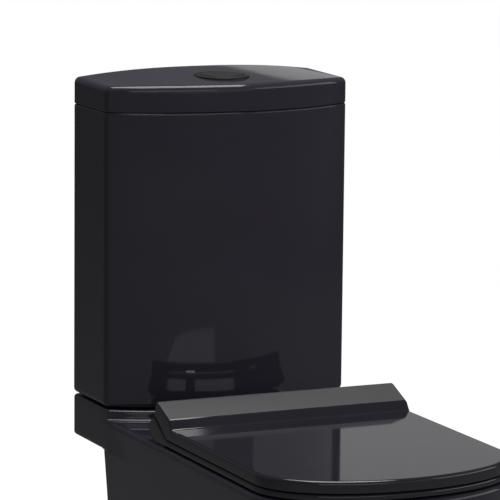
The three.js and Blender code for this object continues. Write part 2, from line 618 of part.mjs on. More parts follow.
function makeTower() {
  const inner = TOWER_RADIUS - TOWER_WALL;
  const wall = collar(0, VALVE_Y, inner, TOWER_RADIUS, TOWER_BOTTOM, TOWER_PLATE + 1, 24);
  const plate = upright(0, VALVE_Y, TOWER_RADIUS, TOWER_PLATE, TOWER_PLATE + TOWER_TOP, 24);
  const plateTop = TOWER_PLATE + TOWER_TOP;
  const cheekTop = ROCKER_Z + 6;
  const outer = ROCKER_X + ROCKER_WIDTH / 2 + CHEEK_RUN;
  const cheeks = [
    box(-4, 4, VALVE_Y - 22, VALVE_Y + 22, plateTop - 1, cheekTop),
    box(outer, outer + CHEEK_THICK, VALVE_Y - 6, VALVE_Y + 6, plateTop - 1, cheekTop),
    box(-outer - CHEEK_THICK, -outer, VALVE_Y - 6, VALVE_Y + 6, plateTop - 1, cheekTop),
  ];
  const [low, high] = [TOWER_BOTTOM + 22, TOWER_PLATE - 30];
  return cut(
    join(wall, plate, ...cheeks),
    box(-WINDOW_HALF, WINDOW_HALF, VALVE_Y - 50, VALVE_Y + 50, low, high),
    box(-50, 50, VALVE_Y - WINDOW_HALF, VALVE_Y + WINDOW_HALF, low, high),
    upright(0, VALVE_Y, OVERFLOW_RADIUS + 2 * RUN, TOWER_PLATE - 1, plateTop + 3, 24),
    rodX(-outer - 8, outer + 8, VALVE_Y, ROCKER_Z, ROCKER_STUB + GAP, 16),
  );
}

function makePlunger() {
  const low = VALVE_FLANGE_TOP + WASHER + 2 * GAP;
  const disc = low + 5;
  const top = TOWER_PLATE - PLUNGER_HEADROOM;
  return turned(0, VALVE_Y, [[OVERFLOW_BORE, low - 8], [VALVE_BORE - 6, low - 8], [VALVE_BORE - 6, low],
    [VALVE_BORE + 2, low], [VALVE_BORE + 2, disc], [OVERFLOW_RADIUS, disc + 8], [OVERFLOW_RADIUS, top],
    [OVERFLOW_BORE, top]], 24);
}

const makePlungerSeal = () => collar(0, VALVE_Y, VALVE_BORE - 5, VALVE_BORE + 3,
  VALVE_FLANGE_TOP + GAP, VALVE_FLANGE_TOP + GAP + WASHER, 24);

function makeRocker(side) {
  const centre = side * ROCKER_X;
  const half = ROCKER_WIDTH / 2;
  const lever = box(centre - half, centre + half, VALVE_Y - ROCKER_FRONT_ARM, VALVE_Y + ROCKER_REAR_ARM,
    ROCKER_Z - ROCKER_THICK / 2, ROCKER_Z + ROCKER_THICK / 2);
  const ends = [side * 1.2, side * (ROCKER_X + half + 5)].sort((a, b) => a - b);
  return join(lever, rodX(ends[0], ends[1], VALVE_Y, ROCKER_Z, ROCKER_STUB, 12));
}

const makeValveWasher = () => collar(0, VALVE_Y, VALVE_TAIL_RADIUS + GAP, VALVE_FLANGE_RADIUS - 1,
  TANK_FLOOR + GAP, TANK_FLOOR + GAP + WASHER, 24);

const makeBacknut = () => collar(0, VALVE_Y, VALVE_TAIL_RADIUS + GAP, BACKNUT_RADIUS,
  CISTERN_BOTTOM - GAP - BACKNUT_HEIGHT, CISTERN_BOTTOM - GAP, 12);

function makeCouplingSeal() {
  const low = LEDGE_TOP - COUPLING_RECESS_DEPTH + GAP;
  const nutBottom = CISTERN_BOTTOM - 2 * GAP - BACKNUT_HEIGHT;
  const outer = COUPLING_RECESS_RADIUS - 3 * GAP;
  return turned(0, VALVE_Y, [[VALVE_TAIL_RADIUS + GAP, low], [outer - 3, low], [outer, low + 5],
    [outer, CISTERN_BOTTOM - GAP], [BACKNUT_RADIUS + 2 * GAP, CISTERN_BOTTOM - GAP],
    [BACKNUT_RADIUS + 2 * GAP, nutBottom], [VALVE_TAIL_RADIUS + GAP, nutBottom]], 28);
}

// ---------------------------------------------------------------- bolts and wing nuts

function wingNut(x, y, bore, high) {
  const hub = collar(x, y, bore, WING_NUT_RADIUS, high - WING_NUT_HEIGHT, high, 12);
  const wings = box(x - WING_SPAN / 2, x + WING_SPAN / 2, y - 2, y + 2,
    high - WING_NUT_HEIGHT - 4, high - 3);
  return cut(join(hub, wings), upright(x, y, bore, high - WING_NUT_HEIGHT - 6, high + 1, 12));
}

const BOLT_HEAD_BOTTOM = TANK_FLOOR + WASHER + 2 * GAP;
const LEDGE_UNDERSIDE = LEDGE_TOP - LEDGE_ROOF;

const makeBolt = (x) => join(
  upright(x, BOLT_Y, BOLT_HEAD, BOLT_HEAD_BOTTOM, BOLT_HEAD_BOTTOM + 5, 6),
  upright(x, BOLT_Y, BOLT_RADIUS, LEDGE_UNDERSIDE - 22, BOLT_HEAD_BOTTOM + 1, 12),
);
const makeBoltWasher = (x) => collar(x, BOLT_Y, BOLT_RADIUS + GAP, BOLT_WASHER_RADIUS,
  TANK_FLOOR + GAP, TANK_FLOOR + GAP + WASHER, 20);
const makeSteelWasher = (x) => collar(x, BOLT_Y, BOLT_RADIUS + GAP, BOLT_WASHER_RADIUS - 2,
  LEDGE_UNDERSIDE - GAP - 2, LEDGE_UNDERSIDE - GAP, 20);
const makeCouplingNut = (x) => wingNut(x, BOLT_Y, BOLT_RADIUS + GAP, LEDGE_UNDERSIDE - 2 * GAP - 2);

// ---------------------------------------------------------------- fill valve

const FILL_FLANGE_BOTTOM = TANK_FLOOR + WASHER + 2 * GAP;
const FLOAT_LOW = FILL_HEAD_BOTTOM - FLOAT_BELOW_HEAD - FLOAT_TRAVEL - FLOAT_HEIGHT;
const LEVER_Z = FILL_HEAD_BOTTOM + 12;
const LEVER_PIVOT_Y = FILL_Y - FILL_HEAD_RADIUS - 5;
const LINK_Y = LEVER_PIVOT_Y - LEVER_ARM;

function makeFillValve() {
  const body = turned(FILL_X, FILL_Y, [[5, CISTERN_BOTTOM - FILL_SHANK_DROP],
    [FILL_SHANK, CISTERN_BOTTOM - FILL_SHANK_DROP], [FILL_SHANK, FILL_FLANGE_BOTTOM],
    [FILL_FLANGE_RADIUS, FILL_FLANGE_BOTTOM], [FILL_FLANGE_RADIUS, FILL_FLANGE_BOTTOM + FILL_FLANGE],
    [FILL_COLUMN, FILL_FLANGE_BOTTOM + FILL_FLANGE], [FILL_COLUMN, FILL_HEAD_BOTTOM],
    [FILL_HEAD_RADIUS, FILL_HEAD_BOTTOM], [FILL_HEAD_RADIUS, FILL_HEAD_BOTTOM + FILL_HEAD_HEIGHT],
    [5, FILL_HEAD_BOTTOM + FILL_HEAD_HEIGHT]], 20);
  const front = LEVER_PIVOT_Y - 4;
  const cheeks = [-1, 1].map((side) => box(FILL_X + side * 6.5 - 1.5, FILL_X + side * 6.5 + 1.5, front,
    FILL_Y - FILL_HEAD_RADIUS + 4, LEVER_Z - 6, LEVER_Z + 6));
  const pivot = rodX(FILL_X - 9, FILL_X + 9, LEVER_PIVOT_Y, LEVER_Z, 1.8, 12);
  return cut(join(body, ...cheeks), pivot);
}

const makeFillWasher = () => collar(FILL_X, FILL_Y, FILL_SHANK + GAP, FILL_FLANGE_RADIUS - 1,
  TANK_FLOOR + GAP, TANK_FLOOR + GAP + WASHER, 20);
const makeFillNut = () => collar(FILL_X, FILL_Y, FILL_SHANK + GAP, FILL_FLANGE_RADIUS - 2,
  CISTERN_BOTTOM - GAP - 9, CISTERN_BOTTOM - GAP, 6);

// The float cup carries a lug in front, and the lever's link stands on the lug.
function makeFloat() {
  const cup = collar(FILL_X, FILL_Y, FILL_COLUMN + RUN, FLOAT_RADIUS, FLOAT_LOW, FLOAT_LOW + FLOAT_HEIGHT, 28);
  const lug = box(FILL_X - 4, FILL_X + 4, LINK_Y - 4, FILL_Y - FLOAT_RADIUS + 4,
    FLOAT_LOW + FLOAT_HEIGHT - 8, FLOAT_LOW + FLOAT_HEIGHT);
  const link = upright(FILL_X, LINK_Y, LINK_RADIUS, FLOAT_LOW + FLOAT_HEIGHT - 1,
    LEVER_Z + LEVER_THICK / 2 + 8, 12);
  return join(cup, lug, link);
}

const makeFillCap = () => upright(FILL_X, FILL_Y, FILL_HEAD_RADIUS - 2,
  FILL_HEAD_BOTTOM + FILL_HEAD_HEIGHT + GAP, FILL_HEAD_BOTTOM + FILL_HEAD_HEIGHT + 9, 20);

// The lever turns in the head's cheeks, and the float's link passes through the slot at its far end.
function makeFillLever() {
  const arm = box(FILL_X - 4.4, FILL_X + 4.4, LINK_Y - LINK_SLOT / 2 - 2, LEVER_PIVOT_Y + 3,
    LEVER_Z - LEVER_THICK / 2, LEVER_Z + LEVER_THICK / 2);
  const slot = box(FILL_X - LINK_RADIUS - RUN, FILL_X + LINK_RADIUS + RUN, LINK_Y - LINK_SLOT / 2,
    LINK_Y + LINK_SLOT / 2, LEVER_Z - LEVER_THICK, LEVER_Z + LEVER_THICK);
  return cut(join(arm, rodX(FILL_X - 7.6, FILL_X + 7.6, LEVER_PIVOT_Y, LEVER_Z, 1.5, 12)), slot);
}

// ---------------------------------------------------------------- seat

const seatOutline = (inset) =>
  roundFrontOutline(SEAT_HALF_WIDTH - inset, HINGE_Y + 54, SEAT_STRAIGHT, SEAT_FRONT - inset, 10);

// The raised rear of the ring: it turns under the hinge on an arc and slopes down to the flat ring.
function ringSideView(skin) {
  const radius = RING_REAR_RADIUS - skin;
  const points = [];
  const [from, to] = [THREE.MathUtils.degToRad(-38), THREE.MathUtils.degToRad(-90)];
  for (let i = 0; i <= 6; i += 1) {
    const angle = from + (to - from) * i / 6;
    points.push([HINGE_Y + radius * Math.cos(angle), HINGE_Z + radius * Math.sin(angle)]);
  }
  points.push([HINGE_Y, RING_UNDER - (skin ? 5 : 0)], [-SEAT_FRONT - 10, RING_UNDER - (skin ? 5 : 0)]);
  points.push([-SEAT_FRONT - 10, RING_TOP - skin], [HINGE_Y - PART_LINE_FRONT, RING_TOP - skin]);
  points.push([HINGE_Y - 2, HINGE_Z - KNUCKLE - skin * 1.3], [HINGE_Y + 2 - skin, HINGE_Z - 1 - skin]);
  return points;
}

// The seat lid with its raised rear block, which covers the ring's.
function lidSideView(skin) {
  const under = skin ? SEAT_LID_UNDER - 5 : SEAT_LID_UNDER;
  return [
    [-SEAT_FRONT - 10, under],
    [-SEAT_FRONT - 10, SEAT_LID_TOP - (skin ? SEAT_LID_ROOF : 0)],
    [HINGE_Y - BLOCK_FOOT + skin * 0.8, SEAT_LID_TOP - (skin ? SEAT_LID_ROOF : 0)],
    [HINGE_Y - BLOCK_LENGTH + skin, HINGE_Z + BLOCK_TOP_FRONT - skin],
    [HINGE_Y - 5 - skin * 0.6, HINGE_Z + BLOCK_TOP_REAR - skin * 1.3],
    [HINGE_Y + 2 - skin, HINGE_Z + 1],
    [HINGE_Y - 5, HINGE_Z - 2.5 - skin],
    [HINGE_Y - PART_LINE_FRONT - 1, under],
  ];
}

const pinZone = HINGE_POST_WIDTH / 2 + RUN;
const earInner = HINGE_X - pinZone - EAR;
const earOuter = HINGE_X + pinZone + EAR;
const PIN_START = earInner - 8;
const PIN_END = earOuter + 8;

// One x range on each side, measured from the middle outward.
const onBothSides = (low, high, make) => [make(low, high), make(-high, -low)];

function makeRing() {
  const flat = SEAT_HALF_WIDTH + 5;
  const body = common(raise(seatOutline(0), RING_UNDER, HINGE_Z + 40), acrossX(ringSideView(0), -flat, flat));
  const crown = common(
    raise(seatOutline(RING_CROWN_INSET), RING_TOP - 1, RING_TOP + RING_CROWN),
    box(-flat, flat, -SEAT_FRONT, HINGE_Y - PART_LINE_FRONT - 14, RING_TOP - 1, RING_TOP + 20),
  );
  const hollow = common(raise(seatOutline(SEAT_SKIN), RING_UNDER - 5, HINGE_Z + 40),
    acrossX(ringSideView(SEAT_SKIN), -flat, flat),
    box(-flat, flat, HINGE_Y - PART_LINE_FRONT - 20, HINGE_Y + 84, RING_UNDER - 6, HINGE_Z + 40));
  const ears = onBothSides(earInner, earInner + EAR, (low, high) => join(
    rodX(low, high, HINGE_Y, HINGE_Z, KNUCKLE),
    acrossX([[HINGE_Y - 5, HINGE_Z], [HINGE_Y + 5, HINGE_Z], [HINGE_Y + 8, HINGE_Z - 24],
      [HINGE_Y - 22, HINGE_Z - 24]], low, high),
  ));
  const sweep = KNUCKLE + RUN;
  const notches = [
    ...onBothSides(HINGE_X - pinZone, HINGE_X + pinZone, (low, high) =>
      box(low, high, HINGE_Y - HINGE_BARREL - 3, HINGE_Y + 60, RING_UNDER - 1, HINGE_Z + 30)),
    ...onBothSides(HINGE_X - pinZone, HINGE_X + pinZone + EAR + RUN, (low, high) =>
      rodX(low, high, HINGE_Y, HINGE_Z, sweep, 24)),
    ...onBothSides(earOuter, flat, (low, high) => rodX(low, high, HINGE_Y, HINGE_Z, sweep, 24)),
    rodX(-earInner, earInner, HINGE_Y, HINGE_Z, sweep, 24),
    rodX(-flat, flat, HINGE_Y, HINGE_Z, HINGE_PIN + GAP, 16),
    ...[-HINGE_X, HINGE_X].map((x) => upright(x, HINGE_Y, HINGE_PLATE_RADIUS + 1.5, RING_UNDER - 1,
      DECK + HINGE_PLATE + GAP + 1.2, 24)),
  ];
  const hole = raise(ovalOutline(RING_HOLE_HALF_WIDTH, RING_HOLE_HALF_LENGTH, RING_HOLE_CENTRE, 2.3, 36),
    RING_UNDER - 1, RING_TOP + 20);
  const { half, halfLength } = RING_BUFFER;
  const pockets = RING_BUFFER_PLACES.map(([x, y]) => box(x - half - RUN, x + half + RUN,
    y - halfLength - RUN, y + halfLength + RUN, RING_UNDER - 1, RING_UNDER + 4));
  return cut(join(cut(join(body, crown), hollow, hole, rodX(-flat, flat, HINGE_Y, HINGE_Z, sweep, 24)),
    ...ears), ...notches, ...pockets);
}

function makeSeatLid() {
  const flat = SEAT_HALF_WIDTH + 5;
  const body = common(raise(seatOutline(0), SEAT_LID_UNDER - 10, HINGE_Z + 40),
    acrossX(lidSideView(0), -flat, flat));
  const hollow = common(raise(seatOutline(SEAT_SKIN + 1), SEAT_LID_UNDER - 12, HINGE_Z + 40),
    acrossX(lidSideView(SEAT_SKIN), -flat, flat));
  const inner = SEAT_HALF_WIDTH - 3;
  const barrel = rodX(-inner, inner, HINGE_Y, HINGE_Z, KNUCKLE, 20);
  const web = acrossX([[HINGE_Y - 5, HINGE_Z], [HINGE_Y + 1, HINGE_Z + 2],
    [HINGE_Y - 4, HINGE_Z + BLOCK_TOP_REAR - 2], [HINGE_Y - 9, HINGE_Z + BLOCK_TOP_REAR - 3]], -inner, inner);
  const notches = onBothSides(earInner - RUN, HINGE_X + pinZone, (low, high) =>
    rodX(low, high, HINGE_Y, HINGE_Z, HINGE_BARREL + 2, 24));
  return cut(join(cut(body, hollow), web, barrel), ...notches,
    rodX(-PIN_END - 1, PIN_END + 1, HINGE_Y, HINGE_Z, HINGE_PIN + GAP, 16));
}

const rearBuffer = [SEAT_HALF_WIDTH - RING_BUFFER.side, HINGE_Y - RING_BUFFER.rear];
const frontBuffer = [SEAT_HALF_WIDTH - RING_BUFFER.frontSide, RING_BUFFER.front - SEAT_FRONT];
const RING_BUFFER_PLACES = [rearBuffer, frontBuffer].flatMap(([x, y]) => [[-x, y], [x, y]]);
const LID_BUFFER_PLACES = [-1, 1].map((side) => [side * LID_BUFFER.x, LID_BUFFER.front - SEAT_FRONT]);

const makeRingBuffer = ([x, y]) => box(x - RING_BUFFER.half, x + RING_BUFFER.half,
  y - RING_BUFFER.halfLength, y + RING_BUFFER.halfLength, DECK + GAP, RING_UNDER + 4 - GAP);
const makeLidBuffer = ([x, y]) => box(x - LID_BUFFER.half, x + LID_BUFFER.half, y - LID_BUFFER.half,
  y + LID_BUFFER.half, RING_TOP + RING_CROWN + GAP, SEAT_LID_CEILING - GAP);

function makeHingePost(x) {
  const plateTop = DECK + GAP + HINGE_PLATE;
  const plate = upright(x, HINGE_Y, HINGE_PLATE_RADIUS, DECK + GAP, plateTop, 32);
  const half = HINGE_POST_WIDTH / 2;
  const column = box(x - half, x + half, HINGE_Y - HINGE_BARREL, HINGE_Y + HINGE_BARREL, plateTop - 1, HINGE_Z);
  const barrel = rodX(x - half, x + half, HINGE_Y, HINGE_Z, HINGE_BARREL, 24);
  return cut(join(plate, column, barrel),
    rodX(x - half - 1, x + half + 1, HINGE_Y, HINGE_Z, HINGE_PIN + GAP, 16),
    upright(x, HINGE_Y, HINGE_STUD + GAP, DECK - 1, plateTop + 8, 12));
}

const makeHingePin = (side) => {
  const ends = [side * PIN_START, side * PIN_END].sort((a, b) => a - b);
  return rodX(ends[0], ends[1], HINGE_Y, HINGE_Z, HINGE_PIN, 16);
};
const makeHingeStud = (x) => upright(x, HINGE_Y, HINGE_STUD, DECK - HINGE_STUD_DROP,
  DECK + HINGE_PLATE + 7, 12);
const makeHingeWasher = (x) => collar(x, HINGE_Y, HINGE_STUD + GAP, 15,
  DECK_UNDERSIDE - GAP - WASHER, DECK_UNDERSIDE - GAP, 20);
const makeHingeNut = (x) => wingNut(x, HINGE_Y, HINGE_STUD + GAP, DECK_UNDERSIDE - 2 * GAP - WASHER);

// ---------------------------------------------------------------- fixings at the foot

// Half width of the pedestal's outer side at one level.
const sideAt = (z) => HALF * (1 - FOOT_NARROWING * (DECK - z) / DECK);

function makeBracket(side) {
  const face = sideAt(BRACKET_SIZE) - CHINA - 4;
  const half = BRACKET_SIZE / 2;
  const [low, high] = side > 0 ? [face - BRACKET_THICK, face] : [-face, -face + BRACKET_THICK];
  const wall = box(low, high, BRACKET_Y - half, BRACKET_Y + half, GAP, BRACKET_SIZE);
  const reach = side > 0 ? [face - BRACKET_SIZE, face] : [-face, -face + BRACKET_SIZE];
  const foot = box(reach[0], reach[1], BRACKET_Y - half, BRACKET_Y + half, GAP, GAP + BRACKET_THICK);
  const middle = (reach[0] + reach[1]) / 2;
  return cut(join(wall, foot), upright(middle, BRACKET_Y, FIXING_RADIUS + 1, -1, BRACKET_THICK + 2, 12),
    rodX(Math.min(low, high) - 1, Math.max(low, high) + 1, BRACKET_Y, FIXING_HEIGHT, FIXING_RADIUS + GAP, 12));
}

function makeFixing(side) {
  const outer = sideAt(FIXING_HEIGHT) + 1.2;
  const inner = sideAt(BRACKET_SIZE) - CHINA - 14;
  const span = side > 0 ? [inner, outer] : [-outer, -inner];
  const head = side > 0 ? [outer - 0.4, outer + 2] : [-outer - 2, -outer + 0.4];
  return join(rodX(span[0], span[1], BRACKET_Y, FIXING_HEIGHT, FIXING_RADIUS, 12),
    rodX(head[0], head[1], BRACKET_Y, FIXING_HEIGHT, FIXING_HEAD, 16));
}

function makeCap(side) {
  const outer = sideAt(FIXING_HEIGHT) + 1.2;
  const [low, high] = side > 0 ? [outer, outer + 4] : [-outer - 4, -outer];
  const pocket = side > 0 ? [low - 1, outer + 2 + GAP] : [-outer - 2 - GAP, high + 1];
  return cut(rodX(low, high, BRACKET_Y, FIXING_HEIGHT, CAP_RADIUS, 24),
    rodX(pocket[0], pocket[1], BRACKET_Y, FIXING_HEIGHT, FIXING_HEAD + GAP, 16));
}

// ---------------------------------------------------------------- materials and assembly

const finish = (color, roughness, metalness = 0) =>
  new THREE.MeshStandardMaterial({ color, roughness, metalness });
const glaze = finish(0x1b1a1f, 0.08);
const blackPlastic = finish(0x1d1c20, 0.15);
const blackButton = finish(0x17171a, 0.22);
const whitePlastic = finish(0xe4e3dd, 0.45);
const bluePlastic = finish(0x2f5fa8, 0.45);
const greyRubber = finish(0x3a3a3c, 0.85);
const clearRubber = finish(0x8f8f8c, 0.7);
const steel = finish(0xb9bbbe, 0.3, 1);
const brass = finish(0xb5985a, 0.35, 1);

const toilet = new THREE.Group();
toilet.position.y = PAN_DEPTH / 2;

function add(name, body, material) {
  const mesh = new THREE.Mesh(geometryOf(body), material);
  mesh.name = name;
  toilet.add(mesh);
}

const { shell, basin, trapway } = makePan();
add('pan', shell, glaze);
add('pan_bowl', basin, glaze);
add('pan_trapway', trapway, glaze);
add('cistern', makeCistern(), glaze);
add('cistern_lid', makeCisternLid(), glaze);

add('button_bezel', makeBezel(), blackButton);
add('half_flush_button', makeButton(-BUTTON_RADIUS, BUTTON_SPLIT - 0.4), blackButton);
add('full_flush_button', makeButton(BUTTON_SPLIT + 0.4, BUTTON_RADIUS), blackButton);
add('button_locknut', makeLocknut(), whitePlastic);
add('half_flush_rod', makeRod(-ROCKER_X), whitePlastic);
add('full_flush_rod', makeRod(ROCKER_X), whitePlastic);
add('half_button_spring', makeSpring(-ROCKER_X), steel);
add('full_button_spring', makeSpring(ROCKER_X), steel);

add('flush_valve_base', makeValveBase(), whitePlastic);
add('flush_valve_tower', makeTower(), whitePlastic);
add('flush_valve_plunger', makePlunger(), bluePlastic);
add('flush_valve_seal', makePlungerSeal(), greyRubber);
add('half_flush_rocker', makeRocker(-1), bluePlastic);
add('full_flush_rocker', makeRocker(1), bluePlastic);
add('flush_valve_washer', makeValveWasher(), greyRubber);
add('flush_valve_backnut', makeBacknut(), whitePlastic);
add('close_coupling_seal', makeCouplingSeal(), greyRubber);

for (const [name, side] of MIRROR) {
  add(`coupling_bolt_${name}`, makeBolt(side * BOLT_X), brass);
  add(`coupling_rubber_washer_${name}`, makeBoltWasher(side * BOLT_X), greyRubber);
  add(`coupling_steel_washer_${name}`, makeSteelWasher(side * BOLT_X), steel);
  add(`coupling_wing_nut_${name}`, makeCouplingNut(side * BOLT_X), brass);
}

add('fill_valve_body', makeFillValve(), whitePlastic);
add('fill_valve_washer', makeFillWasher(), greyRubber);
add('fill_valve_backnut', makeFillNut(), brass);
add('fill_valve_float', makeFloat(), bluePlastic);
add('fill_valve_lever', makeFillLever(), whitePlastic);
add('fill_valve_cap', makeFillCap(), bluePlastic);

add('seat_ring', makeRing(), blackPlastic);
add('seat_lid', makeSeatLid(), blackPlastic);
for (const [name, side] of MIRROR) {
  add(`hinge_post_${name}`, makeHingePost(side * HINGE_X), steel);
  add(`hinge_pin_${name}`, makeHingePin(side), steel);
  add(`hinge_stud_${name}`, makeHingeStud(side * HINGE_X), steel);
  add(`hinge_washer_${name}`, makeHingeWasher(side * HINGE_X), greyRubber);
  add(`hinge_wing_nut_${name}`, makeHingeNut(side * HINGE_X), whitePlastic);
}
RING_BUFFER_PLACES.forEach((place, i) => add(`ring_buffer_${i + 1}`, makeRingBuffer(place), clearRubber));
LID_BUFFER_PLACES.forEach((place, i) => add(`lid_buffer_${i + 1}`, makeLidBuffer(place), clearRubber));

for (const [name, side] of MIRROR) {
  add(`floor_bracket_${name}`, makeBracket(side), steel);
  add(`pan_screw_${name}`, makeFixing(side), steel);
  add(`pan_screw_cap_${name}`, makeCap(side), blackButton);
}

export default toilet;
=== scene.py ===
"""Close coupled toilet: the looks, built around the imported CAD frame. Metres, +Z up, +Y to the wall."""

import json
import math
import bmesh
import bpy
import numpy as np
from mathutils import Matrix, Vector


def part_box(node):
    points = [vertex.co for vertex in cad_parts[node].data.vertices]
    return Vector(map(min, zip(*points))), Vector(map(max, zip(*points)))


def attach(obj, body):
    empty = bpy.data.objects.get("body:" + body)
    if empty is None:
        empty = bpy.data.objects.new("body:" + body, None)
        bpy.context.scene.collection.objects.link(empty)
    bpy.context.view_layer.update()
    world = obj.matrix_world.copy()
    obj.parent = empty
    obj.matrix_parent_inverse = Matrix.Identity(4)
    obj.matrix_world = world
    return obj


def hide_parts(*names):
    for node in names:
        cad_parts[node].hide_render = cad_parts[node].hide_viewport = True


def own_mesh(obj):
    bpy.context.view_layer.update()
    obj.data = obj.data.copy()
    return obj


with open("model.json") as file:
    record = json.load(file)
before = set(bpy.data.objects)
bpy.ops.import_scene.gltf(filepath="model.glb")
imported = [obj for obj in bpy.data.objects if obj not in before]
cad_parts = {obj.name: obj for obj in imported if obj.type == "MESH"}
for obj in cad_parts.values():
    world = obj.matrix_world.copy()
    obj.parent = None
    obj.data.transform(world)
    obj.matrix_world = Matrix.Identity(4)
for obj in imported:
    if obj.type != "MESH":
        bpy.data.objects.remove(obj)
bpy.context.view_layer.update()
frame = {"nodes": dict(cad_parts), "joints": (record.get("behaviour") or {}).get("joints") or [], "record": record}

MM = 0.001

# ------------------------------------------------------------------ sizes taken from the frame

TANK_LOW, TANK_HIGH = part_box("cistern")
LID_LOW, LID_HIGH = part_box("cistern_lid")
BEZEL_LOW, BEZEL_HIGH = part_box("button_bezel")
JOINTS = {joint["name"]: joint for joint in frame["joints"]}

WALL = TANK_HIGH.y
HALF = TANK_HIGH.x
HINGE = Vector(JOINTS["seat_ring_hinge"]["pos_m"])
LEDGE_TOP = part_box("pan")[1].z
RING_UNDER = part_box("seat_ring")[0].z
LID_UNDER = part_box("seat_lid")[0].z


def middle(node):
    """The centre of a CAD node's box."""
    low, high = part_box(node)
    return (low + high) / 2



# ------------------------------------------------------------------ sizes of the shapes

TANK_SIDE = 122 * MM
TANK_BOW = 53.5 * MM
TANK_DEPTH = TANK_SIDE + TANK_BOW
TANK_CORNER = 14 * MM
TANK_BACK_CORNER = 6 * MM
TANK_WALL = 9 * MM
TANK_FLOOR = 10 * MM
LIP_DEPTH = 11 * MM  # of the lip that drops inside the tank
LID_SHOULDER = LID_LOW.z + 45 * MM
CROWN_REAR = 13 * MM
CROWN_FRONT = 3.5 * MM
CROWN_POWER = 2.4
CROWN_FALL = 0.8  # share of its height that the crown loses at the sides

LEDGE_HEIGHT = 59 * MM
LEDGE_SIDE = 128 * MM
LEDGE_BOW = 52 * MM
DECK = LEDGE_TOP - 14 * MM
PAN_STRAIGHT = 601 * MM
PAN_DEPTH = 715 * MM
FOOT_BACK = 103 * MM
FOOT_NARROWING = 0.165
FOOT_SHORTENING = 0.22
CHINA = 10 * MM
DECK_THICK = 15 * MM
ROUND_FRONT = 2.1

RUN = 0.6 * MM  # clearance round what moves
GAP = 0.3 * MM  # clearance between what rests together
SHARP = 0.01 * MM  # a rounding too small to see
BUTTON_RADIUS = 29.5 * MM
BEZEL_THICK = 5 * MM

SEAT_HALF = HALF - 5 * MM
SEAT_STRAIGHT = 600 * MM
SEAT_FRONT = 711 * MM


# ------------------------------------------------------------------ mesh helpers


def make_object(name, vertices, faces):
    mesh = bpy.data.meshes.new(name)
    mesh.from_pydata([tuple(map(float, v)) for v in vertices], [], faces)
    mesh.update()
    piece = bpy.data.objects.new(name, mesh)
    bpy.context.scene.collection.objects.link(piece)
    return piece


def tidy_mesh(piece, merge=2e-6):
    """Welds doubled points, drops faces with no area and turns every face outward."""
    work = bmesh.new()
    work.from_mesh(piece.data)
    bmesh.ops.remove_doubles(work, verts=work.verts, dist=merge)
    bmesh.ops.dissolve_degenerate(work, edges=work.edges, dist=merge / 2)
    bmesh.ops.recalc_face_normals(work, faces=work.faces)
    if work.calc_volume(signed=True) < 0:
        bmesh.ops.reverse_faces(work, faces=work.faces)
    work.to_mesh(piece.data)
    work.free()
    piece.data.update()
    return piece


def loft(name, rings, close_rings=False):
    """Joins rings of points, each closed on itself, by quads. The ends get flat caps."""
    count = len(rings[0])
    vertices = np.concatenate([np.asarray(ring) for ring in rings])
    faces = []
    pairs = list(zip(range(len(rings) - 1), range(1, len(rings))))
    if close_rings:
        pairs.append((len(rings) - 1, 0))
    for low, high in pairs:
        for i in range(count):
            j = (i + 1) % count
            faces.append((low * count + i, low * count + j, high * count + j, high * count + i))
    if not close_rings:
        faces.append(tuple(range(count - 1, -1, -1)))
        faces.append(tuple(range((len(rings) - 1) * count, len(rings) * count)))
    return tidy_mesh(make_object(name, vertices, faces))


def boolean(base, tool, operation, keep_tool=False):
    """Joins or cuts two closed meshes and leaves the result in base."""
    step = base.modifiers.new("step", "BOOLEAN")
    step.object = tool
    step.operation = operation
    step.solver = "MANIFOLD"
    bpy.context.view_layer.update()
    graph = bpy.context.evaluated_depsgraph_get()
    result = bpy.data.meshes.new_from_object(base.evaluated_get(graph))
    base.modifiers.clear()
    old = base.data
    base.data = result
    bpy.data.meshes.remove(old)
    if not keep_tool:
        bpy.data.objects.remove(tool)
    return base


def cut(base, *tools):
    for tool in tools:
        boolean(base, tool, "DIFFERENCE")
    return base


def join(base, *tools):
    for tool in tools:
        boolean(base, tool, "UNION")
    return base


def soften(piece, width, angle, segments):
    """Rounds the edges that are sharper than the angle."""
    edge = piece.modifiers.new("softened edges", "BEVEL")
    edge.width = width
    edge.segments = segments
    edge.limit_method = "ANGLE"
    edge.angle_limit = math.radians(angle)
    edge.harden_normals = True


def smooth(piece, angle=32, bevel=None):
    """Shades a piece smooth up to the angle. bevel is what soften takes after the piece."""
    piece.data.shade_smooth()
    piece.data.set_sharp_from_angle(angle=math.radians(angle))
    if bevel:
        soften(piece, *bevel)
    weigh = piece.modifiers.new("weighted normals", "WEIGHTED_NORMAL")
    weigh.keep_sharp = True
    return piece


def quarter(steps):
    """(sine, 1 - cosine) pairs from 0 to a right angle."""
    angles = [math.pi / 2 * i / steps for i in range(steps + 1)]
    return [(math.sin(a), 1 - math.cos(a)) for a in angles]


def circle(radius, count, centre=(0.0, 0.0), turn=0.0):
    angles = turn + np.arange(count) * 2 * math.pi / count
    return np.stack([centre[0] + radius * np.cos(angles), centre[1] + radius * np.sin(angles)], 1)


def at_level(outline, z):
    return np.concatenate([outline, np.full((len(outline), 1), z)], 1)


def turned(name, centre, profile, count=64):
    """A body of revolution about an upright axis, from a closed list of (radius, z) points."""
    rings = [at_level(circle(radius, count, centre), z) for radius, z in profile]
    if min(radius for radius, _ in profile) > 0:
        return loft(name, rings, close_rings=True)
    return loft(name, rings)


def rod(name, start, end, radius, count=40):
    """A plain round bar between two points, used as a cutter or a core."""
    start, end = Vector(start), Vector(end)
    axis = (end - start).normalized()
    side = axis.orthogonal().normalized()
    other = axis.cross(side)
    rings = []
    for middle in (start, end):
        ring = [middle + radius * (math.cos(a) * side + math.sin(a) * other)
                for a in np.arange(count) * 2 * math.pi / count]
        rings.append(np.array(ring))
    return loft(name, rings)


